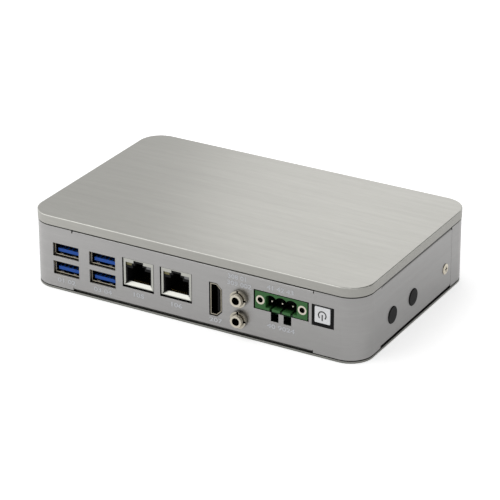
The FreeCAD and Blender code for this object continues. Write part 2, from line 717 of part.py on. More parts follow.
def make_rear_shell():
    shell = make_shell("rear_shell", 1, "seam_place + seam_gap")
    for side in (-1, 1):
        left = f"{SIDE} - 2 * sheet" if side > 0 else f"sheet - {SIDE}"
        tab = rect(left, "seam_place - tab_length", "sheet", "tab_length + tab_root")
        shell.pad(shell.sketch("XY_Plane", "tab_bottom", [tab]), "tab_height")
    hole = [("side_screw_place", "side_level", "thread_radius + thread_gap")]
    drawing = shell.sketch("YZ_Plane", f"{SIDE} + {CUT_OVER}", circles=hole)
    shell.pocket(drawing, f"2 * ({SIDE} + {CUT_OVER})")


def make_posts_and_screws():
    posts = []
    base_screws = []
    bore = "thread_radius + thread_gap"
    for x, y in mirrored_places(POST_X, "post_place"):
        rod = cylinder("post_radius", f"{POCKET_ROOF} - base_core", x, y, "base_core")
        posts.append(cut(rod, cylinder(bore, "base_screw_length + 1", x, y, "base_core")))
        fixing = screw("base_screw_head", "base_core * 0.8", "thread_radius", "base_screw_length", flat=True)
        base_screws.append(place(fixing, x, y, "0", OVER))
    keep(group(*posts), "corner_posts")
    keep(group(*base_screws), "base_screws")
    side_screws = []
    plugs = []
    for side, turn in ((-1, TO_LEFT), (1, TO_RIGHT)):
        head = screw("side_screw_head", "side_screw_rise", "thread_radius", "side_screw_length")
        side_screws.append(place(head, f"{side} * {SIDE}", "side_screw_place", "side_level", turn))
        for y in ("front_plug_place", "rear_plug_place"):
            plugs.append(place(make_plug(), f"{side} * {SIDE}", y, "side_level", turn))
    keep(group(*side_screws), "side_screws")
    keep(group(*plugs), "hole_plugs")


def make_plug():
    """A push-in plug along +Z, with the underside of its head at the origin."""
    head = fuse(cylinder("plug_head", "plug_rise - plug_edge"),
                cone("plug_head", "plug_head - plug_edge", "plug_edge", z="plug_rise - plug_edge"))
    skirt = cut(cylinder("plug_hole - 2 * thread_gap", "plug_length", turn=OVER),
                cylinder("plug_hole - 2 * thread_gap - plug_wall", "plug_length", turn=OVER))
    return fuse(head, skirt)


# Mainboard and what holds it

def make_mainboard():
    board = Body("mainboard")
    plan = rect(f"-{BOARD_HALF}", BOARD_FRONT, f"2 * {BOARD_HALF}", f"{BOARD_REAR} - {BOARD_FRONT}")
    board.pad(board.sketch("XY_Plane", BOARD_UNDERSIDE, [plan]), "board_thickness")
    holes = [(x, y, "thread_radius + 2 * thread_gap") for x, y in board_screw_places()]
    drawing = board.sketch("XY_Plane", BOARD_UNDERSIDE, circles=holes)
    board.pocket(drawing, "board_thickness", backwards=True)


def board_screw_places():
    rows = (f"({BOARD_FRONT} + board_screw_front)", f"({BOARD_REAR} - board_screw_rear)")
    return [(f"{side} * ({BOARD_HALF} - board_screw_side)", y) for side in (-1, 1) for y in rows]


def make_board_fixings():
    standoffs = []
    screws = []
    for x, y in board_screw_places():
        pillar = cylinder("standoff_radius", "board_rise", x, y, "base_core")
        standoffs.append(cut(pillar, cylinder("thread_radius + thread_gap", "board_rise", x, y, "base_core")))
        fixing = screw("board_screw_head", "board_screw_rise", "thread_radius",
                       "board_thickness + board_rise * 0.9")
        screws.append(place(fixing, x, y, BOARD_TOP))
    keep(group(*standoffs), "board_standoffs")
    keep(group(*screws), "board_screws")


# Sockets

def usb_x(number):
    return f"((usb_first_x + {number - 1} * usb_pitch) * {ROW})"


def make_usb_stack(number):
    x = usb_x(number)
    mouth = f"({FRONT} + usb_recess)"
    top = "(usb_upper_z + usb_height / 2)"
    inner = "(usb_width - 2 * usb_sheet)"
    ports = [f"({level} - usb_height / 2)" for level in ("usb_lower_z", "usb_upper_z")]
    can = mid_box(x, mouth, BOARD_TOP, "usb_width", "usb_depth", f"{top} - {BOARD_TOP}")
    over = f"(usb_sheet + {CUT_OVER})"
    hollows = [mid_box(x, f"{mouth} - {CUT_OVER}", f"{port} + usb_sheet", inner,
                       f"usb_port_depth + {CUT_OVER}", "usb_height - 2 * usb_sheet") for port in ports]
    hollows.append(mid_box(x, f"{mouth} - {CUT_OVER}", f"{ports[0]} + usb_height", inner,
                           f"usb_port_depth + {CUT_OVER}", f"{ports[1]} - {ports[0]} - usb_height"))
    hollows.append(mid_box(x, f"{mouth} - {CUT_OVER}", f"{BOARD_TOP} - {CUT_OVER}", inner,
                           f"usb_port_depth + {CUT_OVER}", f"{ports[0]} - {BOARD_TOP} + {CUT_OVER}"))
    rear_depth = "(usb_depth - usb_port_depth - usb_sheet)"
    hollows.append(mid_box(x, f"{mouth} + usb_port_depth", f"{BOARD_TOP} - {CUT_OVER}", inner, rear_depth,
                           f"{top} - {BOARD_TOP} + {CUT_OVER} - usb_sheet"))
    keep(cut(can, *hollows), f"usb_{number}_shell")
    rear = mid_box(x, f"{mouth} + usb_port_depth", BOARD_TOP, inner, rear_depth,
                   f"{top} - {BOARD_TOP} - usb_sheet")
    divider = mid_box(x, f"{mouth} + usb_sheet", f"{ports[0]} + usb_height", inner, "usb_port_depth",
                      f"{ports[1]} - {ports[0]} - usb_height")
    foot = mid_box(x, f"{mouth} + usb_sheet", BOARD_TOP, inner, "usb_port_depth", f"{ports[0]} - {BOARD_TOP}")
    keep(fuse(rear, divider, foot), f"usb_{number}_core")
    tongues = []
    strips = []
    for port in ports:
        low = f"({port} + usb_sheet + tongue_lift)"
        tongues.append(mid_box(x, f"{mouth} + tongue_recess", low, "tongue_width",
                               "usb_port_depth - tongue_recess", "tongue_height"))
        for place_number in range(-2, 3):
            strips.append(mid_box(f"{x} + {place_number} * tongue_width / 5",
                                  f"{mouth} + tongue_recess * 1.5", f"{low} + tongue_height",
                                  "tongue_width / 12", "usb_port_depth / 5",
                                  "contact_sheet"))
        for place_number in (-1.5, -0.5, 0.5, 1.5):
            strips.append(mid_box(f"{x} + {place_number} * tongue_width / 5",
                                  f"{mouth} + tongue_recess * 1.5 + usb_port_depth / 4",
                                  f"{low} + tongue_height", "tongue_width / 9", "usb_port_depth / 2",
                                  "contact_sheet"))
    keep(group(*tongues), f"usb_{number}_tongues")
    keep(group(*strips), f"usb_{number}_contacts")


def lan_x(number):
    return f"((lan_first_x + {number - 1} * lan_pitch) * {ROW})"


def make_network_socket(number):
    """A shielded socket: its nose stands in the front wall's cut-out, the rest sits behind the wall."""
    x = lan_x(number)
    mouth = f"({FRONT} + lan_recess)"
    before = f"({mouth} - {CUT_OVER})"
    inner_width = "(lan_width - 2 * lan_sheet)"
    plate_cut = f"(lan_sheet + 2 * {CUT_OVER})"
    can = mid_box(x, mouth, BOARD_TOP, "lan_width", "lan_depth", f"lan_top - {BOARD_TOP}")
    inside = mid_box(x, f"{mouth} + lan_sheet", f"{BOARD_TOP} - {CUT_OVER}", inner_width,
                     "lan_depth - 2 * lan_sheet", f"lan_top - lan_sheet - {BOARD_TOP} + {CUT_OVER}")
    under_nose = mid_box(x, before, f"{BOARD_TOP} - {CUT_OVER}", f"lan_width + {CUT_OVER}",
                         f"{BOARD_FRONT} - {before}", f"lan_floor - {BOARD_TOP} + {CUT_OVER}")
    opening = mid_box(x, before, "lan_mouth_bottom", "lan_mouth_width", plate_cut,
                      "lan_mouth_top - lan_mouth_bottom")
    latch = mid_box(x, before, "lan_mouth_top", "lan_latch_width", plate_cut,
                    "lan_top - lan_sheet - lan_mouth_top")
    funnel = doc.addObject("Part::Wedge", "funnel")
    lip_half = "(lan_width / 2 - lan_sheet / 2)"
    mouth_half = "lan_mouth_width / 2"
    bind(funnel, Xmin=f"lan_lip_lap - {lip_half}", Xmax=f"{lip_half} - lan_lip_lap", X2min=f"-{mouth_half}",
         X2max=mouth_half, Ymin="0", Ymax="lan_mouth_bottom - lan_floor",
         Zmin="0", Zmax=plate_cut, Z2min="0", Z2max=plate_cut)
    place(funnel, x, f"{before} + {plate_cut}", "lan_floor", DOWN_Y)
    lip = doc.addObject("Part::Wedge", "lip")
    bind(lip, Xmin=f"-{lip_half}", Xmax=lip_half, X2min=f"-{mouth_half}", X2max=mouth_half,
         Ymin="0", Ymax="lan_lip_depth", Zmin="0", Zmax="lan_sheet",
         Z2min="lan_mouth_bottom - lan_floor - lan_sheet", Z2max="lan_mouth_bottom - lan_floor")
    place(lip, x, mouth, "lan_floor")
    keep(fuse(cut(can, inside, under_nose, opening, latch, funnel), lip), f"lan_{number}_shield")

    block = mid_box(x, f"{mouth} + lan_sheet", BOARD_TOP, inner_width, "lan_depth - 2 * lan_sheet",
                    f"lan_top - lan_sheet - {BOARD_TOP}")
    reach = f"(lan_plug_depth + {CUT_OVER})"
    plug_space = mid_box(x, before, "lan_mouth_bottom", "lan_plug_width", reach, "lan_plug_height")
    key = mid_box(x, before, "lan_mouth_bottom + lan_plug_height", "lan_key_width", reach, "lan_key_height")
    catch = mid_box(x, before, "lan_mouth_bottom + lan_plug_height + lan_key_height", "lan_key_width * 0.6",
                    reach, "lan_key_height * 0.8")
    funnel_room = mid_box(x, before, f"lan_floor - {CUT_OVER}", f"lan_width + {CUT_OVER}",
                          f"{CUT_OVER} + lan_lip_depth + fit_gap",
                          f"lan_mouth_bottom - lan_floor + {CUT_OVER}")
    windows = [mid_box(f"{x} + {side} * (lan_mouth_width - lan_lamp_width) / 2", before,
                       "lan_mouth_top - lan_lamp_height", "lan_lamp_width",
                       f"{CUT_OVER} + lan_lip_depth", "lan_lamp_height") for side in (-1, 1)]
    keep(cut(block, under_nose, plug_space, key, catch, funnel_room, *windows), f"lan_{number}_housing")

    wires = [mid_box(f"{x} + {place_number - 3.5} * lan_contact_pitch", f"{mouth} + lan_lip_depth + 1",
                     "lan_mouth_bottom", "lan_contact_pitch * 0.45", "lan_plug_depth - lan_lip_depth - 1",
                     "lan_contact_pitch * 0.4") for place_number in range(8)]
    keep(group(*wires), f"lan_{number}_contacts")


def make_network_lamps():
    """One lamp in each upper corner of each network socket's mouth."""
    lens_depth = "(lan_lip_depth * 0.6)"
    for side, label in ((-1, "lan_link_lamps"), (1, "lan_activity_lamps")):
        lenses = [mid_box(f"{lan_x(number)} + {side} * (lan_mouth_width - lan_lamp_width) / 2",
                          f"{FRONT} + lan_recess + lan_lip_depth - {lens_depth}",
                          "lan_mouth_top - lan_lamp_height", "lan_lamp_width", lens_depth, "lan_lamp_height")
                  for number in (1, 2)]
        keep(group(*lenses), label)


def hdmi_loop(shrink):
    """The HDMI shell's section, with its cut corners towards +X, shrunk by a distance (grown by a minus)."""
    left = f"({HDMI_X} - hdmi_width / 2 + {shrink})"
    right = f"({HDMI_X} + hdmi_width / 2 - {shrink})"
    low = f"(hdmi_z - hdmi_length / 2 + {shrink})"
    high = f"(hdmi_z + hdmi_length / 2 - {shrink})"
    corner = f"(hdmi_chamfer - {shrink} * 0.59)"
    return [(left, low), (f"{right} - {corner}", low), (right, f"{low} + {corner}"),
            (right, f"{high} - {corner}"), (f"{right} - {corner}", high), (left, high)]


def make_hdmi():
    mouth = f"({FRONT} + hdmi_recess)"
    shell = Body("hdmi_shell")
    drawing = shell.sketch("XZ_Plane", f"-{mouth}", [hdmi_loop("0"), hdmi_loop("hdmi_sheet")])
    shell.pad(drawing, "hdmi_depth - hdmi_tail", backwards=True)
    core = Body("hdmi_core")
    plug = core.sketch("XZ_Plane", f"-{mouth} - hdmi_port_depth", [hdmi_loop("hdmi_sheet")])
    core.pad(plug, "hdmi_depth - hdmi_tail - hdmi_port_depth", backwards=True)
    tail = rect(f"{HDMI_X} - hdmi_width / 2", BOARD_TOP, "hdmi_width",
                f"hdmi_z + hdmi_length / 2 - {BOARD_TOP}")
    tail_drawing = core.sketch("XZ_Plane", f"-{mouth} - hdmi_depth + hdmi_tail", [tail])
    core.pad(tail_drawing, "hdmi_tail", backwards=True)
    tongue_left = f"({HDMI_X} + hdmi_width / 8)"
    tongue_low = "(hdmi_z - hdmi_length * 0.37)"
    tongue = rect(tongue_left, tongue_low, "hdmi_tongue", "hdmi_length * 0.74")
    core.pad(core.sketch("XZ_Plane", f"-{mouth} - hdmi_sheet", [tongue]), "hdmi_port_depth", backwards=True)
    strips = [box(f"{tongue_left} - contact_sheet", f"{mouth} + 2 * hdmi_sheet",
                  f"{tongue_low} + {step + 0.25} * hdmi_length * 0.074", "contact_sheet",
                  "hdmi_port_depth * 0.7", "hdmi_length * 0.03") for step in range(10)]
    keep(group(*strips), "hdmi_contacts")


def make_audio_jacks():
    top = "(audio_upper_z + audio_head_room)"
    block = mid_box(AUDIO_X, BOARD_FRONT, BOARD_TOP, "audio_width", "audio_depth", f"{top} - {BOARD_TOP}")
    tip = f"({FRONT} - barrel_reach)"
    barrels = []
    nuts = []
    hollows = []
    for level in AUDIO_LEVELS:
        hollows.append(cylinder("spigot_radius", "spigot_length", AUDIO_X, BOARD_FRONT, level, UP_Y))
        hollows.append(cylinder("jack_bore", "audio_depth * 0.9", AUDIO_X, BOARD_FRONT, level, UP_Y))
        tube = cylinder("barrel_radius", f"{BOARD_FRONT} - {tip}", AUDIO_X, tip, level, UP_Y)
        whole = f"({BOARD_FRONT} - {tip} + spigot_length)"
        spigot = cylinder("spigot_radius", whole, AUDIO_X, tip, level, UP_Y)
        bore = cylinder("jack_bore", whole, AUDIO_X, tip, level, UP_Y)
        barrels.append(cut(fuse(tube, spigot), bore))
        ring_face = f"({FRONT} - ring_nut_height)"
        ring = cylinder("ring_nut_radius", "ring_nut_height", AUDIO_X, ring_face, level, UP_Y)
        thread = cylinder("barrel_radius", "ring_nut_height", AUDIO_X, ring_face, level, UP_Y)
        slots = [mid_box(AUDIO_X, f"{ring_face} - {CUT_OVER}", f"{level} - ring_nut_slot / 2",
                         "3 * ring_nut_radius", f"ring_nut_slot_depth + {CUT_OVER}", "ring_nut_slot"),
                 mid_box(AUDIO_X, f"{ring_face} - {CUT_OVER}", f"{level} - 1.5 * ring_nut_radius",
                         "ring_nut_slot", f"ring_nut_slot_depth + {CUT_OVER}", "3 * ring_nut_radius")]
        nuts.append(cut(ring, thread, *slots))
    keep(cut(block, *hollows), "audio_body")
    keep(group(*barrels), "audio_barrels")
    keep(group(*nuts), "audio_nuts")


def make_terminal_header():
    low = "(dc_z - dc_height / 2)"
    back = f"({FRONT} + dc_depth)"
    block = mid_box(DC_X, FRONT, low, "dc_width", "dc_depth", "dc_height")
    pins_x = [f"{DC_X} + {step} * dc_pitch" for step in (-1, 0, 1)]
    nuts_x = [f"{DC_X} + {step} * dc_pitch" for step in (-2, 2)]
    before = f"({FRONT} - {CUT_OVER})"
    reach = f"dc_port_depth + {CUT_OVER}"
    lobes = [cylinder("dc_lobe_radius", reach, x, before, "dc_lobe_z", UP_Y) for x in pins_x]
    lower = mid_box(DC_X, before, "dc_port_bottom", "dc_port_width", reach, "dc_lobe_z - dc_port_bottom")
    limit = mid_box(DC_X, before, "dc_port_bottom", "dc_port_width", reach,
                    "dc_lobe_z + dc_lobe_radius - dc_port_bottom")
    hollows = [shared_part(limit, fuse(lower, *lobes))]
    hollows += [mid_box(x, before, "dc_axis_z - dc_pin / 2", "dc_pin", f"dc_depth + 2 * {CUT_OVER}", "dc_pin")
                for x in pins_x]
    hollows += [cylinder("dc_nut_radius", f"dc_nut_length + {CUT_OVER}", x, before, "dc_axis_z", UP_Y)
                for x in nuts_x]
    hollows += [mid_box(x, before, f"{low} - {CUT_OVER}", "dc_pin * 1.2", reach,
                        f"dc_port_bottom - {low} + 2 * {CUT_OVER}") for x in pins_x]
    feet = [mid_box(f"{DC_X} + {side} * dc_width * 0.4", f"{FRONT} + dc_depth * 0.5", "power_board_top",
                    "dc_width * 0.1", "dc_depth * 0.4", f"{low} - power_board_top") for side in (-1, 1)]
    keep(fuse(cut(block, *hollows), *feet), "dc_header")
    pins = []
    for x in pins_x:
        blade = mid_box(x, f"{FRONT} + dc_pin_recess", "dc_axis_z - dc_pin / 2", "dc_pin",
                        "dc_depth - dc_pin_recess + dc_pin", "dc_pin")
        tail = mid_box(x, back, "power_board_top - board_thickness", "dc_pin", "dc_pin",
                       "dc_axis_z + dc_pin / 2 - power_board_top + board_thickness")
        pins.append(fuse(blade, tail))
    keep(group(*pins), "dc_pins")
    nuts = []
    for x in nuts_x:
        nut = cylinder("dc_nut_radius", "dc_nut_length", x, FRONT, "dc_axis_z", UP_Y)
        nuts.append(cut(nut, cylinder("dc_nut_bore", "dc_nut_length", x, FRONT, "dc_axis_z", UP_Y)))
    keep(group(*nuts), "dc_flange_nuts")


# Power button: cap, symbol and plunger travel together along +Y

CAP_FACE = f"({FRONT} - cap_reach)"
STEM_END = f"({FRONT} + button_depth + fit_gap)"


def make_power_button():
    surround = Body("button_surround")
    outline = rect(f"{BUTTON_X} - button_width / 2", "button_z - button_height / 2",
                   "button_width", "button_height")
    surround.pad(surround.sketch("XZ_Plane", f"-{FRONT}", [outline]), "button_depth", backwards=True)
    window = round_rect("cap_size / 2 + cap_gap", "cap_size / 2 + cap_gap", "cap_round + cap_gap",
                        BUTTON_X, CAP_Z)
    surround.pocket(surround.sketch("XZ_Plane", f"-{FRONT}", [window]), "button_depth - button_floor")
    stem_hole = [(BUTTON_X, CAP_Z, "stem_radius + stem_gap")]
    surround.pocket(surround.sketch("XZ_Plane", f"-{FRONT}", circles=stem_hole), "button_depth")

    cap = Body()
    square = round_rect("cap_size / 2", "cap_size / 2", "cap_round", BUTTON_X, CAP_Z)
    cap.pad(cap.sketch("XZ_Plane", f"-{CAP_FACE}", [square]), "cap_depth", backwards=True)
    cap.round_edges(edges_at(cap.body.Shape, "Y", size(CAP_FACE)), "cap_edge")
    stem = cap.sketch("XZ_Plane", f"-{CAP_FACE} - cap_depth", circles=[(BUTTON_X, CAP_Z, "stem_radius")])
    cap.pad(stem, f"{STEM_END} - {CAP_FACE} - cap_depth", backwards=True)
    keep(cut(cap.body, make_symbol()), "button_cap")
    keep(make_symbol(), "button_symbol")

    switch_front = f"({STEM_END} + plunger_reach)"
    body = mid_box(BUTTON_X, switch_front, "power_board_top", "switch_size", "switch_depth",
                   f"{CAP_Z} + switch_size / 2 - power_board_top")
    bore = cylinder("stem_radius + stem_gap", "2 * button_travel + stem_gap", BUTTON_X, switch_front,
                    CAP_Z, UP_Y)
    keep(cut(body, bore), "switch_base")
    keep(cylinder("stem_radius", "plunger_reach + button_travel / 2", BUTTON_X, STEM_END, CAP_Z, UP_Y),
         "switch_plunger")


def make_symbol():
    """A ring open at its foot, with a bar from its middle down through the opening."""
    gap = size("symbol_gap_angle")
    turn = UP_Y.multiply(FreeCAD.Rotation(FreeCAD.Vector(0, 0, 1), gap - 270))
    disc = cylinder("symbol_radius", "symbol_depth", BUTTON_X, CAP_FACE, CAP_Z, turn)
    bind(disc, Angle="360 - 2 * symbol_gap_angle")
    inner = cylinder("symbol_radius - symbol_stroke", "symbol_depth", BUTTON_X, CAP_FACE, CAP_Z, UP_Y)
    bar = mid_box(BUTTON_X, CAP_FACE, f"{CAP_Z} - symbol_bar_drop", "symbol_stroke", "symbol_depth",
                  "symbol_bar")
    return group(cut(disc, inner), bar)


def make_power_board():
    left = f"({AUDIO_X} + audio_width / 2 + power_board_side_gap)"
    board_bottom = "(power_board_top - board_thickness)"
    front = f"({WALL_INSIDE} + power_board_gap)"
    board = Body("power_board")
    notch_low = f"({FRONT} + dc_depth)"
    width = f"({BOARD_HALF} - power_board_inset - {left})"
    plan = rect(left, front, width, "power_board_depth")
    board.pad(board.sketch("XY_Plane", board_bottom, [plan]), "board_thickness")
    pin_holes = [rect(f"{DC_X} + {step} * dc_pitch - dc_pin / 2", notch_low, "dc_pin", "dc_pin")
                 for step in (-1, 0, 1)]
    board.pocket(board.sketch("XY_Plane", board_bottom, pin_holes), "board_thickness", backwards=True)
    rear = f"({front} + power_board_depth - 2 * small_standoff)"
    places = [(f"{left} + 2 * small_standoff", rear), (f"{left} + {width} / 2", rear),
              (f"{left} + {width} - 2 * small_standoff", rear)]
    holes = [(x, y, "small_thread + 2 * thread_gap") for x, y in places]
    board.pocket(board.sketch("XY_Plane", board_bottom, circles=holes), "board_thickness", backwards=True)
    standoffs = []
    screws = []
    rise = f"{board_bottom} - {BOARD_TOP}"
    for x, y in places:
        pillar = cylinder("small_standoff", rise, x, y, BOARD_TOP)
        standoffs.append(cut(pillar, cylinder("small_thread + thread_gap", rise, x, y, BOARD_TOP)))
        fixing = screw("small_screw_head", "small_screw_rise", "small_thread", "3 * board_thickness")
        screws.append(place(fixing, x, y, "power_board_top"))
    keep(group(*standoffs), "power_board_standoffs")
    keep(group(*screws), "power_board_screws")
    keep(mid_box(DC_X, f"{front} + power_board_depth / 2", BOARD_TOP, "dc_pitch * 3", "dc_pitch",
                 rise), "board_link")


# Parts on the mainboard

def on_board(x, y, length, width, height, lift="0"):
    """A box on the mainboard, given by its middle in plan."""
    return box(f"({x}) - ({length}) / 2", f"({y}) - ({width}) / 2", f"{BOARD_TOP} + ({lift})",
               length, width, height)


def make_processor():
    package = on_board("processor_x", "processor_y", "processor_size", "processor_size", "processor_height")
    keep(package, "processor")
    block_height = f"({POCKET_ROOF} - {BOARD_TOP} - processor_height - thermal_pad)"
    block = on_board("processor_x", "processor_y", "heat_block_size", "heat_block_size", block_height,
                     "processor_height")
    keep(block, "heat_block")
    pad = on_board("processor_x", "processor_y", "heat_block_size", "heat_block_size", "thermal_pad",
                   f"processor_height + {block_height}")
    keep(pad, "thermal_pad")


def make_memory():
    socket = on_board("memory_x", "memory_y", "memory_width + 4", "socket_depth", "socket_height")
    slot = on_board("memory_x", "memory_y + socket_depth / 4", "memory_width", "socket_depth / 2",
                    "card_thickness", "memory_lift")
    keep(cut(socket, slot), "memory_socket")
    card = on_board("memory_x", "memory_y + memory_depth / 2", "memory_width", "memory_depth",
                    "card_thickness", "memory_lift")
    keep(card, "memory_module")


def make_drive():
    """A drive card that reaches towards -X from its socket, held by one screw at its far end."""
    socket = on_board("drive_x", "drive_y", "drive_socket_depth", "drive_width", "drive_socket_height")
    slot = on_board("drive_x - drive_socket_depth / 4", "drive_y", "drive_socket_depth / 2", "drive_width",
                    "card_thickness", "drive_lift")
    keep(cut(socket, slot), "drive_socket")
    screw_x = "(drive_x - drive_length + small_screw_head)"
    card = on_board("drive_x - drive_length / 2", "drive_y", "drive_length", "drive_width", "card_thickness",
                    "drive_lift")
    hole = cylinder("small_thread + 2 * thread_gap", "board_thickness * 3", screw_x, "drive_y", BOARD_TOP)
    keep(cut(card, hole), "drive_module")
    pillar = cylinder("small_standoff", "drive_lift", screw_x, "drive_y", BOARD_TOP)
    bore = cylinder("small_thread + thread_gap", "drive_lift", screw_x, "drive_y", BOARD_TOP)
    keep(cut(pillar, bore), "drive_standoff")
    fixing = screw("small_screw_head", "small_screw_rise", "small_thread",
                   "drive_lift * 0.9 + card_thickness")
    card_top = f"{BOARD_TOP} + drive_lift + card_thickness"
    keep(place(fixing, screw_x, "drive_y", card_top), "drive_screw")


def make_coin_cell():
    outer = cylinder("cell_radius + holder_wall + thread_gap", "cell_height", "cell_x", "cell_y", BOARD_TOP)
    floor = f"{BOARD_TOP} + holder_wall"
    pocket = cylinder("cell_radius + thread_gap", "cell_height", "cell_x", "cell_y", floor)
    keep(cut(outer, pocket), "cell_holder")
    keep(cylinder("cell_radius", "cell_height", "cell_x", "cell_y", floor), "coin_cell")


def make_supply_parts():
    """Inductors and capacitors in two rows between the processor and the front sockets."""
    coil_y = "(processor_y - heat_block_size / 2 - coil_size)"
    coils = [on_board(f"processor_x + {step} * coil_pitch", coil_y, "coil_size", "coil_size", "coil_height")
             for step in (-1, 0, 1)]
    keep(group(*coils), "inductors")
    cans = [cylinder("can_radius", "can_height", f"processor_x + {step} * can_pitch",
                     "processor_y + heat_block_size / 2 + 2 * can_radius", BOARD_TOP)
            for step in (-1.5, -0.5, 0.5, 1.5)]
    keep(group(*cans), "capacitors")


def check_and_export():
    """Stop on any object that failed or any shape that is not sound, then write one file for each node."""
    doc.recompute()
    for item in doc.Objects:
        if "Invalid" in item.State or "Error" in item.State:
            raise RuntimeError(f"{item.Label} is {item.State}")
    os.makedirs("parts", exist_ok=True)
    for item in nodes:
        if item.Shape.isNull() or not item.Shape.isValid() or not item.Shape.Solids:
            raise RuntimeError(f"{item.Label} has no sound shape")
    for item in nodes:
        item.Shape.exportStep(f"parts/{item.Label}.step")


make_base_plate()
make_top_cover()
make_front_shell()
make_rear_shell()
make_posts_and_screws()
make_mainboard()
make_board_fixings()
for stack_number in (1, 2):
    make_usb_stack(stack_number)
    make_network_socket(stack_number)
make_network_lamps()
make_hdmi()
make_audio_jacks()
make_power_board()
make_terminal_header()
make_power_button()
make_processor()
make_memory()
make_drive()
make_coin_cell()
make_supply_parts()
check_and_export()
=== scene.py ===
"""Finishes, small fittings and a studio for a fanless industrial pc.

Laid out as an add-on and run as a script. Lengths are in metres in the frame of the solids: X runs along
the socket side, -Y points out of it and Z is up.
"""
import math

import bmesh
import bpy
from bpy.props import FloatProperty, FloatVectorProperty, PointerProperty
from mathutils import Matrix, Vector


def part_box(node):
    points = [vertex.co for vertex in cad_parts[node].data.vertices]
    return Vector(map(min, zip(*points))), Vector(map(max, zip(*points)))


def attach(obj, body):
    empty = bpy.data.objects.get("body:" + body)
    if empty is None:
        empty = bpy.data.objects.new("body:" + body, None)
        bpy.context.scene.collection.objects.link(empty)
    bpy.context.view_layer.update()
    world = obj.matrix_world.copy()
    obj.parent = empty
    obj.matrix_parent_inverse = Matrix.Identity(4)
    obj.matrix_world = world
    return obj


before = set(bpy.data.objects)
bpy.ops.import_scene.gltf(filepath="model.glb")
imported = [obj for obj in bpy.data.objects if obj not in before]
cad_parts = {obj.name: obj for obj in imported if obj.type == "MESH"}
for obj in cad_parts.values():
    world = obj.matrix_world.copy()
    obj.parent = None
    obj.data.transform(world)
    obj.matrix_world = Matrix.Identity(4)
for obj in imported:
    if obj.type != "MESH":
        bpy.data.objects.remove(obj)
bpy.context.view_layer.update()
MM = 0.001
FRONT_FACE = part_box("front_shell")[0].y

# How many cells of each noise fit in a metre
SMUDGE_CELLS = 28.0
CLOUD_CELLS = 160.0
WEAR_CELLS = 420.0
PAPER_CELLS = 900.0
PLATED_GRAIN = 2500.0
MOULDED_GRAIN = 5200.0

BUMP_DEPTH = 0.03 * MM
WELD_DISTANCE = 0.002 * MM

bl_info = {
    "name": "Industrial PC Finishes",
    "version": (1, 0, 0),
    "blender": (4, 5, 0),
    "location": "3D View > Sidebar > Industrial PC",
    "description": "Finishes, small fittings and a studio for a fanless industrial pc",
    "category": "Object",
}


def tint(red, green, blue):
    """A colour as a paint maker's 0 to 255 values, turned into the linear values that nodes use."""
    parts = [part / 255 for part in (red, green, blue)]
    return tuple(part / 12.92 if part <= 0.04045 else ((part + 0.055) / 1.055) ** 2.4 for part in parts)


def colour(name, description, default):
    """A colour setting with its default given from 0 to 255."""
    return FloatVectorProperty(name=name, description=description, default=tint(*default), subtype="COLOR",
                               size=3, min=0.0, max=1.0)


def length(name, description, default_mm):
    """A length setting with its default given in millimetres."""
    return FloatProperty(name=name, description=description, default=default_mm * MM, unit="LENGTH",
                         min=0.00001, precision=5)


class CaseFinish(bpy.types.PropertyGroup):
    lid_colour: colour("Lid", "Brushed aluminium of the lid", (161, 160, 155))
    # The lid rim colour is a painted highlight on the rounded top edge of the lid.
    rim_highlight_colour: colour("Lid rim", "Bright rim round the top of the lid", (206, 206, 200))
    shell_colour: colour("Shells", "Brushed steel of the two shells", (158, 157, 156))
    base_colour: colour("Base plate", "Steel of the base plate", (146, 146, 141))
    plug_colour: colour("Hole plugs", "Moulded plastic of the hole plugs", (7, 8, 8))
    screw_colour: colour("Screws", "Plating of the screws", (214, 206, 188))
    streak_length: length("Streak length", "Length of one brushing streak", 7.0)
    streak_width: length("Streak width", "Width of one brushing streak", 0.3)
    edge_round: length("Edge softness", "How far light softens a sheet edge", 0.12)


class SocketFinish(bpy.types.PropertyGroup):
    nickel_colour: colour("Nickel", "Plating of the socket shells", (186, 178, 160))
    shield_colour: colour("Shield", "Bright plating of the network shields", (174, 174, 168))
    insert_colour: colour("Inserts", "Black moulding inside the sockets", (14, 14, 15))
    tongue_colour: colour("Tongues", "Blue moulding of the USB tongues", (34, 92, 190))
    gold_colour: colour("Contacts", "Plating of the contacts", (214, 178, 104))
    terminal_colour: colour("Terminal", "Green moulding of the terminal header", (55, 106, 56))
    mark_colour: colour("Numbers", "Ink of the printed numbers", (202, 204, 208))
    mark_height: length("Number height", "Height of the printed numbers", 2.0)
    spring_width: length("Spring width", "Width of a contact spring", 1.7)
    spring_sheet: length("Spring sheet", "Thickness of a contact spring", 0.18)
    spring_bulge: length("Spring bulge", "How far a contact spring bows out", 0.45)
    thread_pitch: length("Thread pitch", "Pitch of the thread on the audio barrels", 0.5)
    thread_depth: length("Thread depth", "Height of that thread's ridge", 0.12)
    tip_length: length("Pin tip", "Length of the tapered tips of the terminal pins", 0.7)


class ButtonFinish(bpy.types.PropertyGroup):
    surround_colour: colour("Surround", "Black moulding round the button", (9, 10, 10))
    cap_colour: colour("Cap", "Pale moulding of the button", (243, 244, 246))
    symbol_colour: colour("Symbol", "Ink of the power symbol", (44, 44, 42))


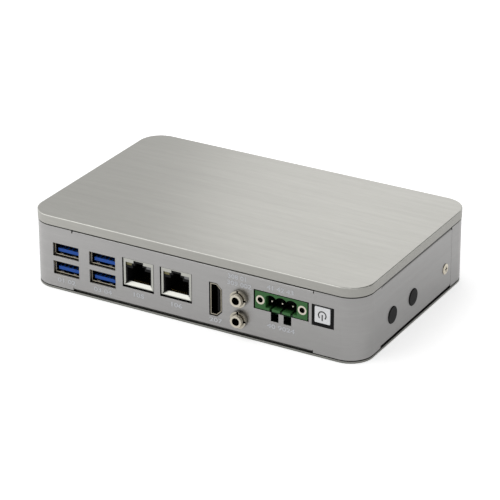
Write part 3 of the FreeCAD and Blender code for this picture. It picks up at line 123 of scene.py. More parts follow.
class StudioSettings(bpy.types.PropertyGroup):
    azimuth: FloatProperty(name="Azimuth", description="Camera angle round the object",
                           default=math.radians(29.326), subtype="ANGLE")
    elevation: FloatProperty(name="Elevation", description="Camera angle above the floor",
                             default=math.radians(24.459), subtype="ANGLE")
    roll: FloatProperty(name="Roll", description="Camera turned about its own axis",
                        default=math.radians(0.127), subtype="ANGLE")
    distance: length("Distance", "Camera to the middle of the object", 1103.6)
    aim: FloatVectorProperty(name="Aim", description="Camera moved sideways and up", subtype="TRANSLATION",
                             size=2, default=(0.009547, 0.027397), unit="LENGTH")
    lens: FloatProperty(name="Lens", description="Focal length on a 36 mm sensor", default=175.47,
                        subtype="DISTANCE_CAMERA")
    shift: FloatVectorProperty(name="Shift", description="Lens shift", size=2, default=(-0.0425, -0.0652))
    floor_colour: colour("Floor", "Paper of the floor", (246, 246, 246))
    sky: FloatProperty(name="Sky", description="Soft light from all round", default=0.6, min=0.0)
    key: FloatProperty(name="Key", description="Power of the large lamp in front", default=5.0, min=0.0,
                       unit="POWER")
    sheen: FloatProperty(name="Sheen", description="Power of the lamp that the lid mirrors", default=0.082,
                         min=0.0, unit="POWER")
    shade: FloatProperty(name="Dark side", description="Sky that metal mirrors high on the right",
                         default=0.15, min=0.0, max=1.0)


# Node groups

def new_group(name, kind, inputs, outputs):
    """An empty node group with named sockets: (name, socket type, default)."""
    group = bpy.data.node_groups.new(name, kind)
    for label, socket_type, default in inputs:
        socket = group.interface.new_socket(label, in_out="INPUT", socket_type=socket_type)
        if default is not None:
            socket.default_value = default
    for label, socket_type in outputs:
        group.interface.new_socket(label, in_out="OUTPUT", socket_type=socket_type)
    return group, group.nodes.new("NodeGroupInput"), group.nodes.new("NodeGroupOutput")


def wire(tree, kind, settings=(), links=()):
    """A node with its properties set and its inputs linked or given a value."""
    node = tree.nodes.new(kind)
    for name, value in dict(settings).items():
        setattr(node, name, value)
    for socket, source in dict(links).items():
        target = node.inputs[socket]
        if isinstance(source, bpy.types.NodeSocket):
            tree.links.new(source, target)
        else:
            target.default_value = source
    return node


def maths(tree, operation, *terms):
    """The result of a math node."""
    node = wire(tree, "ShaderNodeMath", {"operation": operation}, dict(enumerate(terms)))
    return node.outputs[0]


def noise(tree, vector, scale, detail=3.0, roughness=0.55):
    """Noise values with a mean of a half. Scale is how many of its cells fit in a metre."""
    node = wire(tree, "ShaderNodeTexNoise", links={"Vector": vector, "Scale": scale, "Detail": detail,
                                                   "Roughness": roughness})
    return node.outputs["Fac"]


def blended(tree, factor, first, second):
    """The first colour, giving way to the second as the factor grows."""
    node = wire(tree, "ShaderNodeMix", {"data_type": "RGBA"})
    tree.links.new(factor, node.inputs["Factor"])
    tree.links.new(first, node.inputs["A"])
    tree.links.new(second, node.inputs["B"])
    return node.outputs["Result"]


def scaled(tree, base, factor):
    """A colour made lighter or darker by a factor."""
    node = wire(tree, "ShaderNodeMix", {"data_type": "RGBA", "blend_type": "MULTIPLY"})
    node.inputs["Factor"].default_value = 1.0
    tree.links.new(base, node.inputs["A"])
    grey = wire(tree, "ShaderNodeCombineColor", links={"Red": factor, "Green": factor, "Blue": factor})
    tree.links.new(grey.outputs[0], node.inputs["B"])
    return node.outputs["Result"]


def streak_group():
    """Brushing streaks: fine ones, broad ones, and faint smudges that lie across them."""
    tree, inside, outside = new_group("brushed_streaks", "ShaderNodeTree", [
        ("Vector", "NodeSocketVector", None), ("Colour", "NodeSocketColor", None),
        ("Streaks", "NodeSocketVector", None), ("Contrast", "NodeSocketFloat", 0.2),
        ("Gloss", "NodeSocketFloat", 0.35), ("Smudges", "NodeSocketFloat", 0.05),
    ], [("Colour", "NodeSocketColor"), ("Roughness", "NodeSocketFloat"), ("Height", "NodeSocketFloat")])
    sockets = inside.outputs
    drawn = wire(tree, "ShaderNodeVectorMath", {"operation": "MULTIPLY"},
                 {0: sockets["Vector"], 1: sockets["Streaks"]}).outputs[0]
    fine = noise(tree, drawn, 1.0, 4.0, 0.7)
    broad = noise(tree, drawn, 0.13, 2.0)
    smudge = noise(tree, sockets["Vector"], SMUDGE_CELLS, 2.0)
    streak = maths(tree, "ADD", maths(tree, "MULTIPLY", fine, 0.6), maths(tree, "MULTIPLY", broad, 0.4))
    swing = maths(tree, "MULTIPLY", maths(tree, "SUBTRACT", streak, 0.5), sockets["Contrast"])
    cloud = maths(tree, "MULTIPLY", maths(tree, "SUBTRACT", smudge, 0.5), sockets["Smudges"])
    factor = maths(tree, "ADD", 1.0, maths(tree, "ADD", swing, cloud))
    tree.links.new(scaled(tree, sockets["Colour"], factor), outside.inputs["Colour"])
    rough = maths(tree, "ADD", sockets["Gloss"], maths(tree, "MULTIPLY", swing, -0.4))
    tree.links.new(maths(tree, "ADD", rough, cloud), outside.inputs["Roughness"])
    tree.links.new(streak, outside.inputs["Height"])
    return tree


def grain_group():
    """Moulded or plated surface: a fine grain over faint clouds of colour."""
    tree, inside, outside = new_group("fine_grain", "ShaderNodeTree", [
        ("Vector", "NodeSocketVector", None), ("Colour", "NodeSocketColor", None),
        ("Grain", "NodeSocketFloat", 4000.0), ("Contrast", "NodeSocketFloat", 0.1),
        ("Gloss", "NodeSocketFloat", 0.5), ("Clouds", "NodeSocketFloat", 0.08),
    ], [("Colour", "NodeSocketColor"), ("Roughness", "NodeSocketFloat"), ("Height", "NodeSocketFloat")])
    sockets = inside.outputs
    grain = noise(tree, sockets["Vector"], sockets["Grain"], 3.0, 0.6)
    cloud = noise(tree, sockets["Vector"], CLOUD_CELLS, 2.0)
    swing = maths(tree, "MULTIPLY", maths(tree, "SUBTRACT", grain, 0.5), sockets["Contrast"])
    drift = maths(tree, "MULTIPLY", maths(tree, "SUBTRACT", cloud, 0.5), sockets["Clouds"])
    factor = maths(tree, "ADD", 1.0, maths(tree, "ADD", swing, drift))
    tree.links.new(scaled(tree, sockets["Colour"], factor), outside.inputs["Colour"])
    rough = maths(tree, "ADD", sockets["Gloss"], maths(tree, "MULTIPLY", swing, 0.6))
    tree.links.new(maths(tree, "ADD", rough, drift), outside.inputs["Roughness"])
    tree.links.new(grain, outside.inputs["Height"])
    return tree


def wear_highlight_group():
    """Edges painted lighter or darker, part wear and part painted highlight, broken up so that no edge is
    even.
    """
    tree, inside, outside = new_group("worn_edges", "ShaderNodeTree", [
        ("Vector", "NodeSocketVector", None), ("Colour", "NodeSocketColor", None),
        ("Wear And Highlight Colour", "NodeSocketColor", None), ("Soft Normal", "NodeSocketVector", None),
        ("True Normal", "NodeSocketVector", None), ("Amount", "NodeSocketFloat", 0.5),
    ], [("Colour", "NodeSocketColor"), ("Mask", "NodeSocketFloat")])
    sockets = inside.outputs
    facing = wire(tree, "ShaderNodeVectorMath", {"operation": "DOT_PRODUCT"},
                  {0: sockets["Soft Normal"], 1: sockets["True Normal"]}).outputs["Value"]
    turned = wire(tree, "ShaderNodeMapRange", {"clamp": True},
                  {"Value": facing, "From Min": 0.995, "From Max": 0.8}).outputs[0]
    patch = noise(tree, sockets["Vector"], WEAR_CELLS)
    broken = wire(tree, "ShaderNodeMapRange", {"clamp": True},
                  {"Value": patch, "From Min": 0.35, "From Max": 0.6}).outputs[0]
    mask = maths(tree, "MULTIPLY", maths(tree, "MULTIPLY", turned, broken), sockets["Amount"])
    lightened = blended(tree, mask, sockets["Colour"], sockets["Wear And Highlight Colour"])
    tree.links.new(lightened, outside.inputs["Colour"])
    tree.links.new(mask, outside.inputs["Mask"])
    return tree


def crevice_shade_group():
    """Painted shade that gathers where little light gets in."""
    tree, inside, outside = new_group("crevice_dust", "ShaderNodeTree", [
        ("Colour", "NodeSocketColor", None), ("Openness", "NodeSocketFloat", 1.0),
        ("Amount", "NodeSocketFloat", 0.8), ("Start", "NodeSocketFloat", 0.25),
        ("Stop", "NodeSocketFloat", 0.75),
    ], [("Colour", "NodeSocketColor"), ("Mask", "NodeSocketFloat")])
    sockets = inside.outputs
    shut = wire(tree, "ShaderNodeMapRange", {"clamp": True, "interpolation_type": "SMOOTHSTEP"},
                {"Value": sockets["Openness"], "From Min": sockets["Stop"],
                 "From Max": sockets["Start"]}).outputs[0]
    mask = maths(tree, "MULTIPLY", shut, sockets["Amount"])
    kept = maths(tree, "SUBTRACT", 1.0, mask)
    tree.links.new(scaled(tree, sockets["Colour"], kept), outside.inputs["Colour"])
    tree.links.new(mask, outside.inputs["Mask"])
    return tree


def rim_highlight_group():
    """A painted highlight: a brighter colour where a surface turns from a side to the top."""
    tree, inside, outside = new_group("painted_rim_highlight", "ShaderNodeTree", [
        ("Normal", "NodeSocketVector", None), ("Colour", "NodeSocketColor", None),
        ("Highlight Colour", "NodeSocketColor", None), ("Amount", "NodeSocketFloat", 0.8),
    ], [("Colour", "NodeSocketColor")])
    sockets = inside.outputs
    up = wire(tree, "ShaderNodeSeparateXYZ", links={0: sockets["Normal"]}).outputs["Z"]
    slope = maths(tree, "MULTIPLY", up, maths(tree, "SUBTRACT", 1.0, up))
    mask = wire(tree, "ShaderNodeMapRange", {"clamp": True, "interpolation_type": "SMOOTHSTEP"},
                {"Value": slope, "From Min": 0.04, "From Max": 0.14}).outputs[0]
    share = maths(tree, "MULTIPLY", mask, sockets["Amount"])
    tree.links.new(blended(tree, share, sockets["Colour"], sockets["Highlight Colour"]), outside.inputs["Colour"])
    return tree


def depth_shade_group():
    """Painted shade that grows with depth along Y."""
    tree, inside, outside = new_group("socket_depth", "ShaderNodeTree", [
        ("Vector", "NodeSocketVector", None), ("Colour", "NodeSocketColor", None),
        ("Start", "NodeSocketFloat", 0.0), ("Grow", "NodeSocketFloat", 0.002),
        ("Amount", "NodeSocketFloat", 0.9),
    ], [("Colour", "NodeSocketColor")])
    sockets = inside.outputs
    y = wire(tree, "ShaderNodeSeparateXYZ", links={0: sockets["Vector"]}).outputs["Y"]
    mask = wire(tree, "ShaderNodeMapRange", {"clamp": True, "interpolation_type": "SMOOTHSTEP"},
                {"Value": y, "From Min": sockets["Start"],
                 "From Max": maths(tree, "ADD", sockets["Start"], sockets["Grow"])}).outputs[0]
    kept = maths(tree, "SUBTRACT", 1.0, maths(tree, "MULTIPLY", mask, sockets["Amount"]))
    tree.links.new(scaled(tree, sockets["Colour"], kept), outside.inputs["Colour"])
    return tree


def shared(name, maker):
    """A node group that is built the first time it is asked for."""
    return bpy.data.node_groups.get(name) or maker()


# Finishes

def finish(name, group, pattern, fixed, relief=0.1, soft=0.0, worn=None, dust=0.85, reach=2.5, clear=0.75,
           deep=None, rim=None):
    """A material from a shared pattern, with constant values on the shader's own sockets.

    Soft is how far edges are softened, in metres, and worn gives a colour and an amount for edges
    painted lighter, part wear and part painted highlight. Reach is how many millimetres away a wall still
    casts painted shade into a crevice, and clear is how open a place has to be to stay unshaded. Deep gives
    where the painted shade inside a socket starts behind the front face and over what distance it grows, both
    in millimetres, and how dark it gets. Rim gives a colour and an amount for a painted highlight on rounded
    upper edges.
    """
    made = bpy.data.materials.new(name)
    made.use_nodes = True
    tree = made.node_tree
    tree.nodes.clear()
    end = tree.nodes.new("ShaderNodeOutputMaterial")
    shader = wire(tree, "ShaderNodeBsdfPrincipled", links=fixed)
    tree.links.new(shader.outputs[0], end.inputs["Surface"])
    place = tree.nodes.new("ShaderNodeTexCoord").outputs["Object"]
    effect = wire(tree, "ShaderNodeGroup", {"node_tree": group}, {"Vector": place, **pattern})
    paint = effect.outputs["Colour"]
    bump = wire(tree, "ShaderNodeBump", links={"Height": effect.outputs["Height"], "Strength": relief,
                                               "Distance": BUMP_DEPTH})
    if soft:
        bevel = wire(tree, "ShaderNodeBevel", {"samples": 4}, {"Radius": soft})
        tree.links.new(bevel.outputs[0], bump.inputs["Normal"])
        # Edges painted lighter: part wear, part painted highlight.
        if worn:
            true = tree.nodes.new("ShaderNodeNewGeometry").outputs["Normal"]
            lightening = wire(tree, "ShaderNodeGroup", {"node_tree": shared("worn_edges", wear_highlight_group)},
                       {"Vector": place, "Colour": paint, "Wear And Highlight Colour": (*worn[0], 1.0),
                        "Soft Normal": bevel.outputs[0], "True Normal": true, "Amount": worn[1]})
            paint = lightening.outputs["Colour"]
    # Painted highlight: a brighter colour on rounded upper edges.
    if rim:
        facing = tree.nodes.new("ShaderNodeNewGeometry").outputs["Normal"]
        turn = wire(tree, "ShaderNodeGroup", {"node_tree": shared("painted_rim_highlight", rim_highlight_group)},
                    {"Normal": facing, "Colour": paint, "Highlight Colour": (*rim[0], 1.0), "Amount": rim[1]})
        paint = turn.outputs["Colour"]
    # Painted shade: colour darkened where ambient occlusion finds walls close by, in seams, crevices and
    # sockets.
    air = wire(tree, "ShaderNodeAmbientOcclusion", {"samples": 6}, {"Distance": reach * MM})
    shade = wire(tree, "ShaderNodeGroup", {"node_tree": shared("crevice_dust", crevice_shade_group)},
                 {"Colour": paint, "Openness": air.outputs["AO"], "Amount": dust, "Stop": clear})
    # Painted shade inside sockets: colour darkened with depth behind the front face.
    if deep:
        start, grow, amount = deep
        shade = wire(tree, "ShaderNodeGroup", {"node_tree": shared("socket_depth", depth_shade_group)},
                     {"Vector": place, "Colour": shade.outputs["Colour"], "Start": FRONT_FACE + start * MM,
                      "Grow": grow * MM, "Amount": amount})
    tree.links.new(shade.outputs["Colour"], shader.inputs["Base Color"])
    tree.links.new(effect.outputs["Roughness"], shader.inputs["Roughness"])
    tree.links.new(bump.outputs[0], shader.inputs["Normal"])
    return made


def brushed(name, colour_value, streaks, gloss=0.34, contrast=0.22, smudges=0.05, **more):
    """Brushed metal. Streaks give how many streaks fit in a metre along X, Y and Z."""
    return finish(name, shared("brushed_streaks", streak_group),
                  {"Colour": (*colour_value, 1.0), "Streaks": streaks, "Contrast": contrast, "Gloss": gloss,
                   "Smudges": smudges}, {"Metallic": 1.0}, relief=0.25, **more)


def plated(name, colour_value, gloss=0.22, clouds=0.1, **more):
    """Plated sheet or turned metal."""
    return finish(name, shared("fine_grain", grain_group),
                  {"Colour": (*colour_value, 1.0), "Grain": PLATED_GRAIN, "Contrast": 0.12, "Gloss": gloss,
                   "Clouds": clouds}, {"Metallic": 1.0}, relief=0.06, **more)


def moulded(name, colour_value, gloss=0.45, contrast=0.1, coat=0.0, gleam=0.5, **more):
    """Moulded plastic or rubber."""
    return finish(name, shared("fine_grain", grain_group),
                  {"Colour": (*colour_value, 1.0), "Grain": MOULDED_GRAIN, "Contrast": contrast,
                   "Gloss": gloss, "Clouds": 0.12},
                  {"Metallic": 0.0, "Coat Weight": coat, "Specular IOR Level": gleam}, relief=0.2, **more)


def dress(material, *nodes):
    """Give carried-over solids a finish."""
    for name in nodes:
        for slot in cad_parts[name].material_slots:
            slot.material = material


def add_piece(name, mesh, material, body="chassis"):
    """A new piece at the origin, riding on a body."""
    mesh.name = name
    mesh.materials.clear()
    mesh.materials.append(material)
    piece = bpy.data.objects.new(name, mesh)
    bpy.context.scene.collection.objects.link(piece)
    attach(piece, body)


def middle(node):
    """The middle of a node's box."""
    low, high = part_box(node)
    return (low + high) / 2


# Pieces grown by geometry nodes

def closing(tree, outside, shape, material):
    """End a geometry tree: instances made real, then the material."""
    real = wire(tree, "GeometryNodeRealizeInstances", links={"Geometry": shape})
    painted = wire(tree, "GeometryNodeSetMaterial",
                   links={"Geometry": real.outputs[0], "Material": material})
    tree.links.new(painted.outputs[0], outside.inputs["Geometry"])


def in_a_row(tree, shape, count, pitch):
    """Copies of a shape in a row along X, centred on the origin."""
    start = maths(tree, "MULTIPLY", maths(tree, "SUBTRACT", count, 1.0), maths(tree, "MULTIPLY", pitch, -0.5))
    first = wire(tree, "ShaderNodeCombineXYZ", links={"X": start})
    step = wire(tree, "ShaderNodeCombineXYZ", links={"X": pitch})
    line = wire(tree, "GeometryNodeMeshLine",
                links={"Count": count, "Start Location": first.outputs[0], "Offset": step.outputs[0]})
    return wire(tree, "GeometryNodeInstanceOnPoints",
                links={"Points": line.outputs[0], "Instance": shape}).outputs[0]


def spring_tree():
    """A row of leaf springs that lie along Y and bow up along Z."""
    tree, inside, outside = new_group("leaf_springs", "GeometryNodeTree", [
        ("Width", "NodeSocketFloat", 0.0017), ("Length", "NodeSocketFloat", 0.005),
        ("Sheet", "NodeSocketFloat", 0.00018), ("Bulge", "NodeSocketFloat", 0.00045),
        ("Count", "NodeSocketInt", 2), ("Pitch", "NodeSocketFloat", 0.006),
        ("Material", "NodeSocketMaterial", None),
    ], [("Geometry", "NodeSocketGeometry")])
    sockets = inside.outputs
    strip = wire(tree, "GeometryNodeMeshGrid",
                 links={"Size X": sockets["Width"], "Size Y": sockets["Length"], "Vertices X": 3,
                        "Vertices Y": 17}).outputs[0]
    spot = tree.nodes.new("GeometryNodeInputPosition").outputs[0]
    along = wire(tree, "ShaderNodeSeparateXYZ", links={0: spot}).outputs["Y"]
    angle = maths(tree, "MULTIPLY", maths(tree, "DIVIDE", along, sockets["Length"]), math.pi)
    bow = maths(tree, "MULTIPLY", maths(tree, "COSINE", angle), sockets["Bulge"])
    lift = wire(tree, "ShaderNodeCombineXYZ", links={"Z": bow}).outputs[0]
    bent = wire(tree, "GeometryNodeSetPosition", links={"Geometry": strip, "Offset": lift}).outputs[0]
    thick = wire(tree, "GeometryNodeExtrudeMesh", {"mode": "FACES"},
                 {"Mesh": bent, "Offset Scale": sockets["Sheet"], "Individual": False}).outputs["Mesh"]
    under = wire(tree, "GeometryNodeFlipFaces", links={"Mesh": bent}).outputs[0]
    both = tree.nodes.new("GeometryNodeJoinGeometry")
    tree.links.new(thick, both.inputs[0])
    tree.links.new(under, both.inputs[0])
    whole = wire(tree, "GeometryNodeMergeByDistance",
                 links={"Geometry": both.outputs[0], "Distance": WELD_DISTANCE})
    row = in_a_row(tree, whole.outputs[0], sockets["Count"], sockets["Pitch"])
    closing(tree, outside, row, sockets["Material"])
    return tree


def thread_tree():
    """A thread ridge that winds up along Z."""
    tree, inside, outside = new_group("thread_ridge", "GeometryNodeTree", [
        ("Radius", "NodeSocketFloat", 0.0028), ("Pitch", "NodeSocketFloat", 0.0005),
        ("Turns", "NodeSocketFloat", 3.0), ("Depth", "NodeSocketFloat", 0.00012),
        ("Material", "NodeSocketMaterial", None),
    ], [("Geometry", "NodeSocketGeometry")])
    sockets = inside.outputs
    rise = maths(tree, "MULTIPLY", sockets["Pitch"], sockets["Turns"])
    path = wire(tree, "GeometryNodeCurveSpiral",
                links={"Resolution": 56, "Rotations": sockets["Turns"], "Start Radius": sockets["Radius"],
                       "End Radius": sockets["Radius"], "Height": rise}).outputs[0]
    ridge = wire(tree, "GeometryNodeCurvePrimitiveCircle",
                 links={"Resolution": 6, "Radius": sockets["Depth"]}).outputs["Curve"]
    wound = wire(tree, "GeometryNodeCurveToMesh", links={"Curve": path, "Profile Curve": ridge,
                                                         "Fill Caps": True}).outputs[0]
    closing(tree, outside, wound, sockets["Material"])
    return tree


def tip_tree():
    """A row of tapered square tips that point up along Z."""
    tree, inside, outside = new_group("pin_tips", "GeometryNodeTree", [
        ("Size", "NodeSocketFloat", 0.001), ("Taper", "NodeSocketFloat", 0.55),
        ("Length", "NodeSocketFloat", 0.0007), ("Count", "NodeSocketInt", 3),
        ("Pitch", "NodeSocketFloat", 0.00508), ("Material", "NodeSocketMaterial", None),
    ], [("Geometry", "NodeSocketGeometry")])
    sockets = inside.outputs
    foot = maths(tree, "MULTIPLY", sockets["Size"], math.sqrt(0.5))
    cone = wire(tree, "GeometryNodeMeshCone",
                links={"Vertices": 4, "Radius Top": maths(tree, "MULTIPLY", foot, sockets["Taper"]),
                       "Radius Bottom": foot, "Depth": sockets["Length"]}).outputs["Mesh"]
    turned = wire(tree, "GeometryNodeTransform",
                  links={"Geometry": cone, "Rotation": (0.0, 0.0, math.pi / 4)}).outputs[0]
    row = in_a_row(tree, turned, sockets["Count"], sockets["Pitch"])
    closing(tree, outside, row, sockets["Material"])
    return tree


def grown(context, name, maker, values, place):
    """The plain mesh that a geometry tree makes from named values, moved to its place."""
    tree = shared(name, maker)
    holder = bpy.data.objects.new("holder", bpy.data.meshes.new("holder"))
    context.scene.collection.objects.link(holder)
    growth = holder.modifiers.new("growth", "NODES")
    growth.node_group = tree
    for item in tree.interface.items_tree:
        if item.in_out == "INPUT" and item.name in values:
            growth[item.identifier] = values[item.name]
    context.view_layer.update()
    graph = context.evaluated_depsgraph_get()
    mesh = bpy.data.meshes.new_from_object(holder.evaluated_get(graph))
    holder.modifiers.remove(growth)
    bpy.data.objects.remove(holder)
    mesh.transform(place)
    return mesh


def joined(name, meshes):
    """One mesh from several, with outward normals."""
    whole = bmesh.new()
    for mesh in meshes:
        whole.from_mesh(mesh)
        bpy.data.meshes.remove(mesh)
    bmesh.ops.recalc_face_normals(whole, faces=whole.faces)
    result = bpy.data.meshes.new(name)
    whole.to_mesh(result)
    whole.free()
    return result


def turned(x, depth, z, *turns):
    """A place at a depth behind the front face, after turns about named axes in degrees."""
    place = Matrix.Translation((x, FRONT_FACE + depth, z))
    for axis, angle in turns:
        place = place @ Matrix.Rotation(math.radians(angle), 4, axis)
    return place


# Stage

FLOOR_RADIUS = 4.0
FLOOR_DROP = 0.1 * MM
FLOOR_WHITE = 0.5
PAPER_GRAIN = 0.02
# Glow of the floor in metal, at the first X and left of it, and at the second X and right of it
FLOOR_GLOW = {"From Min": -0.12, "From Max": 0.12, "To Min": 0.52, "To Max": 0.27}
# The way to the dark side of the sky that metal mirrors, and the cosines at which it starts and is full
DARK_SIDE = (0.62, 0.30, 0.72)
DARK_START, DARK_FULL = 0.4, 0.85


class PC_OT_stage(bpy.types.Operator):
    """Make the floor, the lamps, the sky and the camera"""
    bl_idname = "industrial_pc.stage"
    bl_label = "Make the studio"

    def execute(self, context):
        studio = context.scene.pc_studio
        self.make_floor(context, studio)
        self.make_sky(context, studio)
        self.make_lamps(context, studio)
        self.make_camera(context, studio)
        context.scene.view_settings.view_transform = "Standard"
        return {"FINISHED"}

    def make_floor(self, context, studio):
        """Pale paper that looks white to the camera and keeps the object's shadow."""
        bm = bmesh.new()
        bmesh.ops.create_circle(bm, cap_ends=True, segments=96, radius=FLOOR_RADIUS)
        mesh = bpy.data.meshes.new("floor")
        bm.to_mesh(mesh)
        bm.free()
        mesh.transform(Matrix.Translation((0, 0, -FLOOR_DROP)))
        floor = bpy.data.objects.new("floor", mesh)
        context.scene.collection.objects.link(floor)
        paper = bpy.data.materials.new("floor_paper")
        paper.use_nodes = True
        tree = paper.node_tree
        tree.nodes.clear()
        place = tree.nodes.new("ShaderNodeTexCoord").outputs["Object"]
        paint = tree.nodes.new("ShaderNodeRGB").outputs[0]
        paint.default_value = (*studio.floor_colour, 1.0)
        grain = maths(tree, "MULTIPLY", noise(tree, place, PAPER_CELLS), PAPER_GRAIN)
        shade = scaled(tree, paint, maths(tree, "ADD", 1.0 - PAPER_GRAIN / 2, grain))
        lit = wire(tree, "ShaderNodeBsdfDiffuse", links={"Color": shade})
        eye, mirrored = self.rays(tree)
        side = wire(tree, "ShaderNodeSeparateXYZ", links={0: place}).outputs["X"]
        sheen = wire(tree, "ShaderNodeMapRange", {"clamp": True}, {"Value": side, **FLOOR_GLOW}).outputs[0]
        strength = maths(tree, "ADD", maths(tree, "MULTIPLY", eye, FLOOR_WHITE),
                         maths(tree, "MULTIPLY", mirrored, sheen))
        glow = wire(tree, "ShaderNodeEmission", links={"Color": (1, 1, 1, 1), "Strength": strength})
        both = wire(tree, "ShaderNodeAddShader", links={0: lit.outputs[0], 1: glow.outputs[0]})
        end = tree.nodes.new("ShaderNodeOutputMaterial")
        tree.links.new(both.outputs[0], end.inputs["Surface"])
        mesh.materials.append(paper)

    def rays(self, tree):
        """Two masks: rays from the camera, and rays that gloss or glass sends on."""
        path = tree.nodes.new("ShaderNodeLightPath")
        eye = path.outputs["Is Camera Ray"]
        passed_on = maths(tree, "MAXIMUM", path.outputs["Is Glossy Ray"], path.outputs["Is Transmission Ray"])
        return eye, maths(tree, "MULTIPLY", passed_on, maths(tree, "SUBTRACT", 1.0, eye))

    def make_sky(self, context, studio):
        """White to the camera, dark on one side to metal, and soft light to the rest."""
        sky = bpy.data.worlds.new("studio_sky")
        context.scene.world = sky
        sky.use_nodes = True
        tree = sky.node_tree
        tree.nodes.clear()
        eye, mirrored = self.rays(tree)
        around = tree.nodes.new("ShaderNodeTexCoord").outputs["Generated"]
        facing = wire(tree, "ShaderNodeVectorMath", {"operation": "DOT_PRODUCT"},
                      {0: around, 1: DARK_SIDE}).outputs["Value"]
        level = wire(tree, "ShaderNodeMapRange", {"clamp": True, "interpolation_type": "SMOOTHSTEP"},
                     {"Value": facing, "From Min": DARK_START, "From Max": DARK_FULL, "To Min": 1.0,
                      "To Max": studio.shade}).outputs[0]
        soft = maths(tree, "SUBTRACT", maths(tree, "SUBTRACT", 1.0, eye), mirrored)
        strength = maths(tree, "ADD", eye, maths(tree, "MULTIPLY", mirrored, level))
        strength = maths(tree, "ADD", strength, maths(tree, "MULTIPLY", soft, studio.sky))
        back = wire(tree, "ShaderNodeBackground", links={"Color": (1, 1, 1, 1), "Strength": strength})
        end = tree.nodes.new("ShaderNodeOutputWorld")
        tree.links.new(back.outputs[0], end.inputs["Surface"])

    def make_lamps(self, context, studio):
        """Round lamps that point at the middle of the base."""
        lamps = [("rear_lamp", (-0.045, 0.21, 0.17), 0.22, studio.sheen),
                 ("front_lamp", (-0.75, -0.7, 1.35), 1.2, studio.key)]
        for name, spot, width, power in lamps:
            data = bpy.data.lights.new(name, "AREA")
            data.shape = "DISK"
            data.size = width
            data.energy = power
            lamp = bpy.data.objects.new(name, data)
            lamp.location = spot
            lamp.rotation_euler = (-Vector(spot)).to_track_quat("-Z", "Y").to_euler()
            lamp.visible_camera = False
            context.scene.collection.objects.link(lamp)

    def make_camera(self, context, studio):
        """A camera on a sphere round the middle of the base, moved sideways and up, then shifted."""
        turn, rise, roll = studio.azimuth, studio.elevation, studio.roll
        back = Vector((math.sin(turn) * math.cos(rise), -math.cos(turn) * math.cos(rise), math.sin(rise)))
        level = Vector((math.cos(turn), math.sin(turn), 0))
        upright = back.cross(level)
        right = level * math.cos(roll) + upright * math.sin(roll)
        up = upright * math.cos(roll) - level * math.sin(roll)
        data = bpy.data.cameras.new("camera")
        data.sensor_width = 36.0
        data.lens = studio.lens
        data.shift_x, data.shift_y = studio.shift
        data.clip_start = 0.05
        data.clip_end = 20.0
        camera = bpy.data.objects.new("camera", data)
        spot = back * studio.distance + right * studio.aim[0] + up * studio.aim[1]
        camera.matrix_world = Matrix.Translation(spot) @ Matrix((right, up, back)).transposed().to_4x4()
        context.scene.collection.objects.link(camera)
        context.scene.camera = camera


# Enclosure

class PC_OT_lid(bpy.types.Operator):
    """Give the lid its brushed finish"""
    bl_idname = "industrial_pc.lid"
    bl_label = "Finish the lid"

    def execute(self, context):
        case = context.scene.pc_case
        along, across = 1 / case.streak_length, 1 / case.streak_width
        # The lid gets a painted highlight on its rounded rim and painted shade in its seams.
        dress(brushed("lid_brushed_aluminium", case.lid_colour, (along, across, across), gloss=0.36,
                      contrast=0.30, smudges=0.05, rim=(case.rim_highlight_colour, 0.7), dust=0.7), "top_cover")
        return {"FINISHED"}


class PC_OT_shells(bpy.types.Operator):
    """Give the shells and the base plate their brushed finish"""
    bl_idname = "industrial_pc.shells"
    bl_label = "Finish the shells and the base plate"

    def execute(self, context):
        case = context.scene.pc_case
        along, across = 1 / case.streak_length, 1 / case.streak_width
        # Sheet edges painted lighter, part wear and part painted highlight; seams and slots get painted
        # shade.
        worn = (tint(214, 214, 210), 0.4)
        dress(brushed("shell_brushed_steel", case.shell_colour, (along, along, across), gloss=0.33,
                      contrast=0.26, soft=case.edge_round, worn=worn, dust=0.62), "front_shell", "rear_shell")
        dress(brushed("base_plate_steel", case.base_colour, (along, across, across), gloss=0.42,
                      contrast=0.2, soft=case.edge_round, worn=worn), "base_plate")
        return {"FINISHED"}


class PC_OT_fixings(bpy.types.Operator):
    """Finish the screws, the posts and the hole plugs"""
    bl_idname = "industrial_pc.fixings"
    bl_label = "Finish the fixings"

    def execute(self, context):
        case = context.scene.pc_case
        dress(plated("screw_plating", case.screw_colour, gloss=0.26, soft=0.06 * MM), "base_screws",
              "side_screws", "board_screws", "power_board_screws", "drive_screw")
        dress(plated("turned_brass", tint(205, 170, 105), gloss=0.3), "board_standoffs",
              "power_board_standoffs", "drive_standoff")
        dress(plated("turned_aluminium", tint(200, 201, 202), gloss=0.34), "corner_posts")
        dress(moulded("plug_plastic", case.plug_colour, gloss=0.5, soft=0.1 * MM, gleam=0.12), "hole_plugs")
        return {"FINISHED"}


# Sockets

USB_LEVELS = (10.8 * MM, 19.6 * MM)
USB_OPENING = 5.7 * MM
USB_SHEET = 0.4 * MM
SPRING_LENGTH = 5.0 * MM
SPRING_PITCH = 6.6 * MM
SPRING_DEPTH = 4.3 * MM
AUDIO_LEVELS = (8.6 * MM, 18.5 * MM)
THREAD_RADIUS = 2.8 * MM
THREAD_TURNS = 2.5
THREAD_START = 0.3 * MM
PIN_SIZE = 1.0 * MM


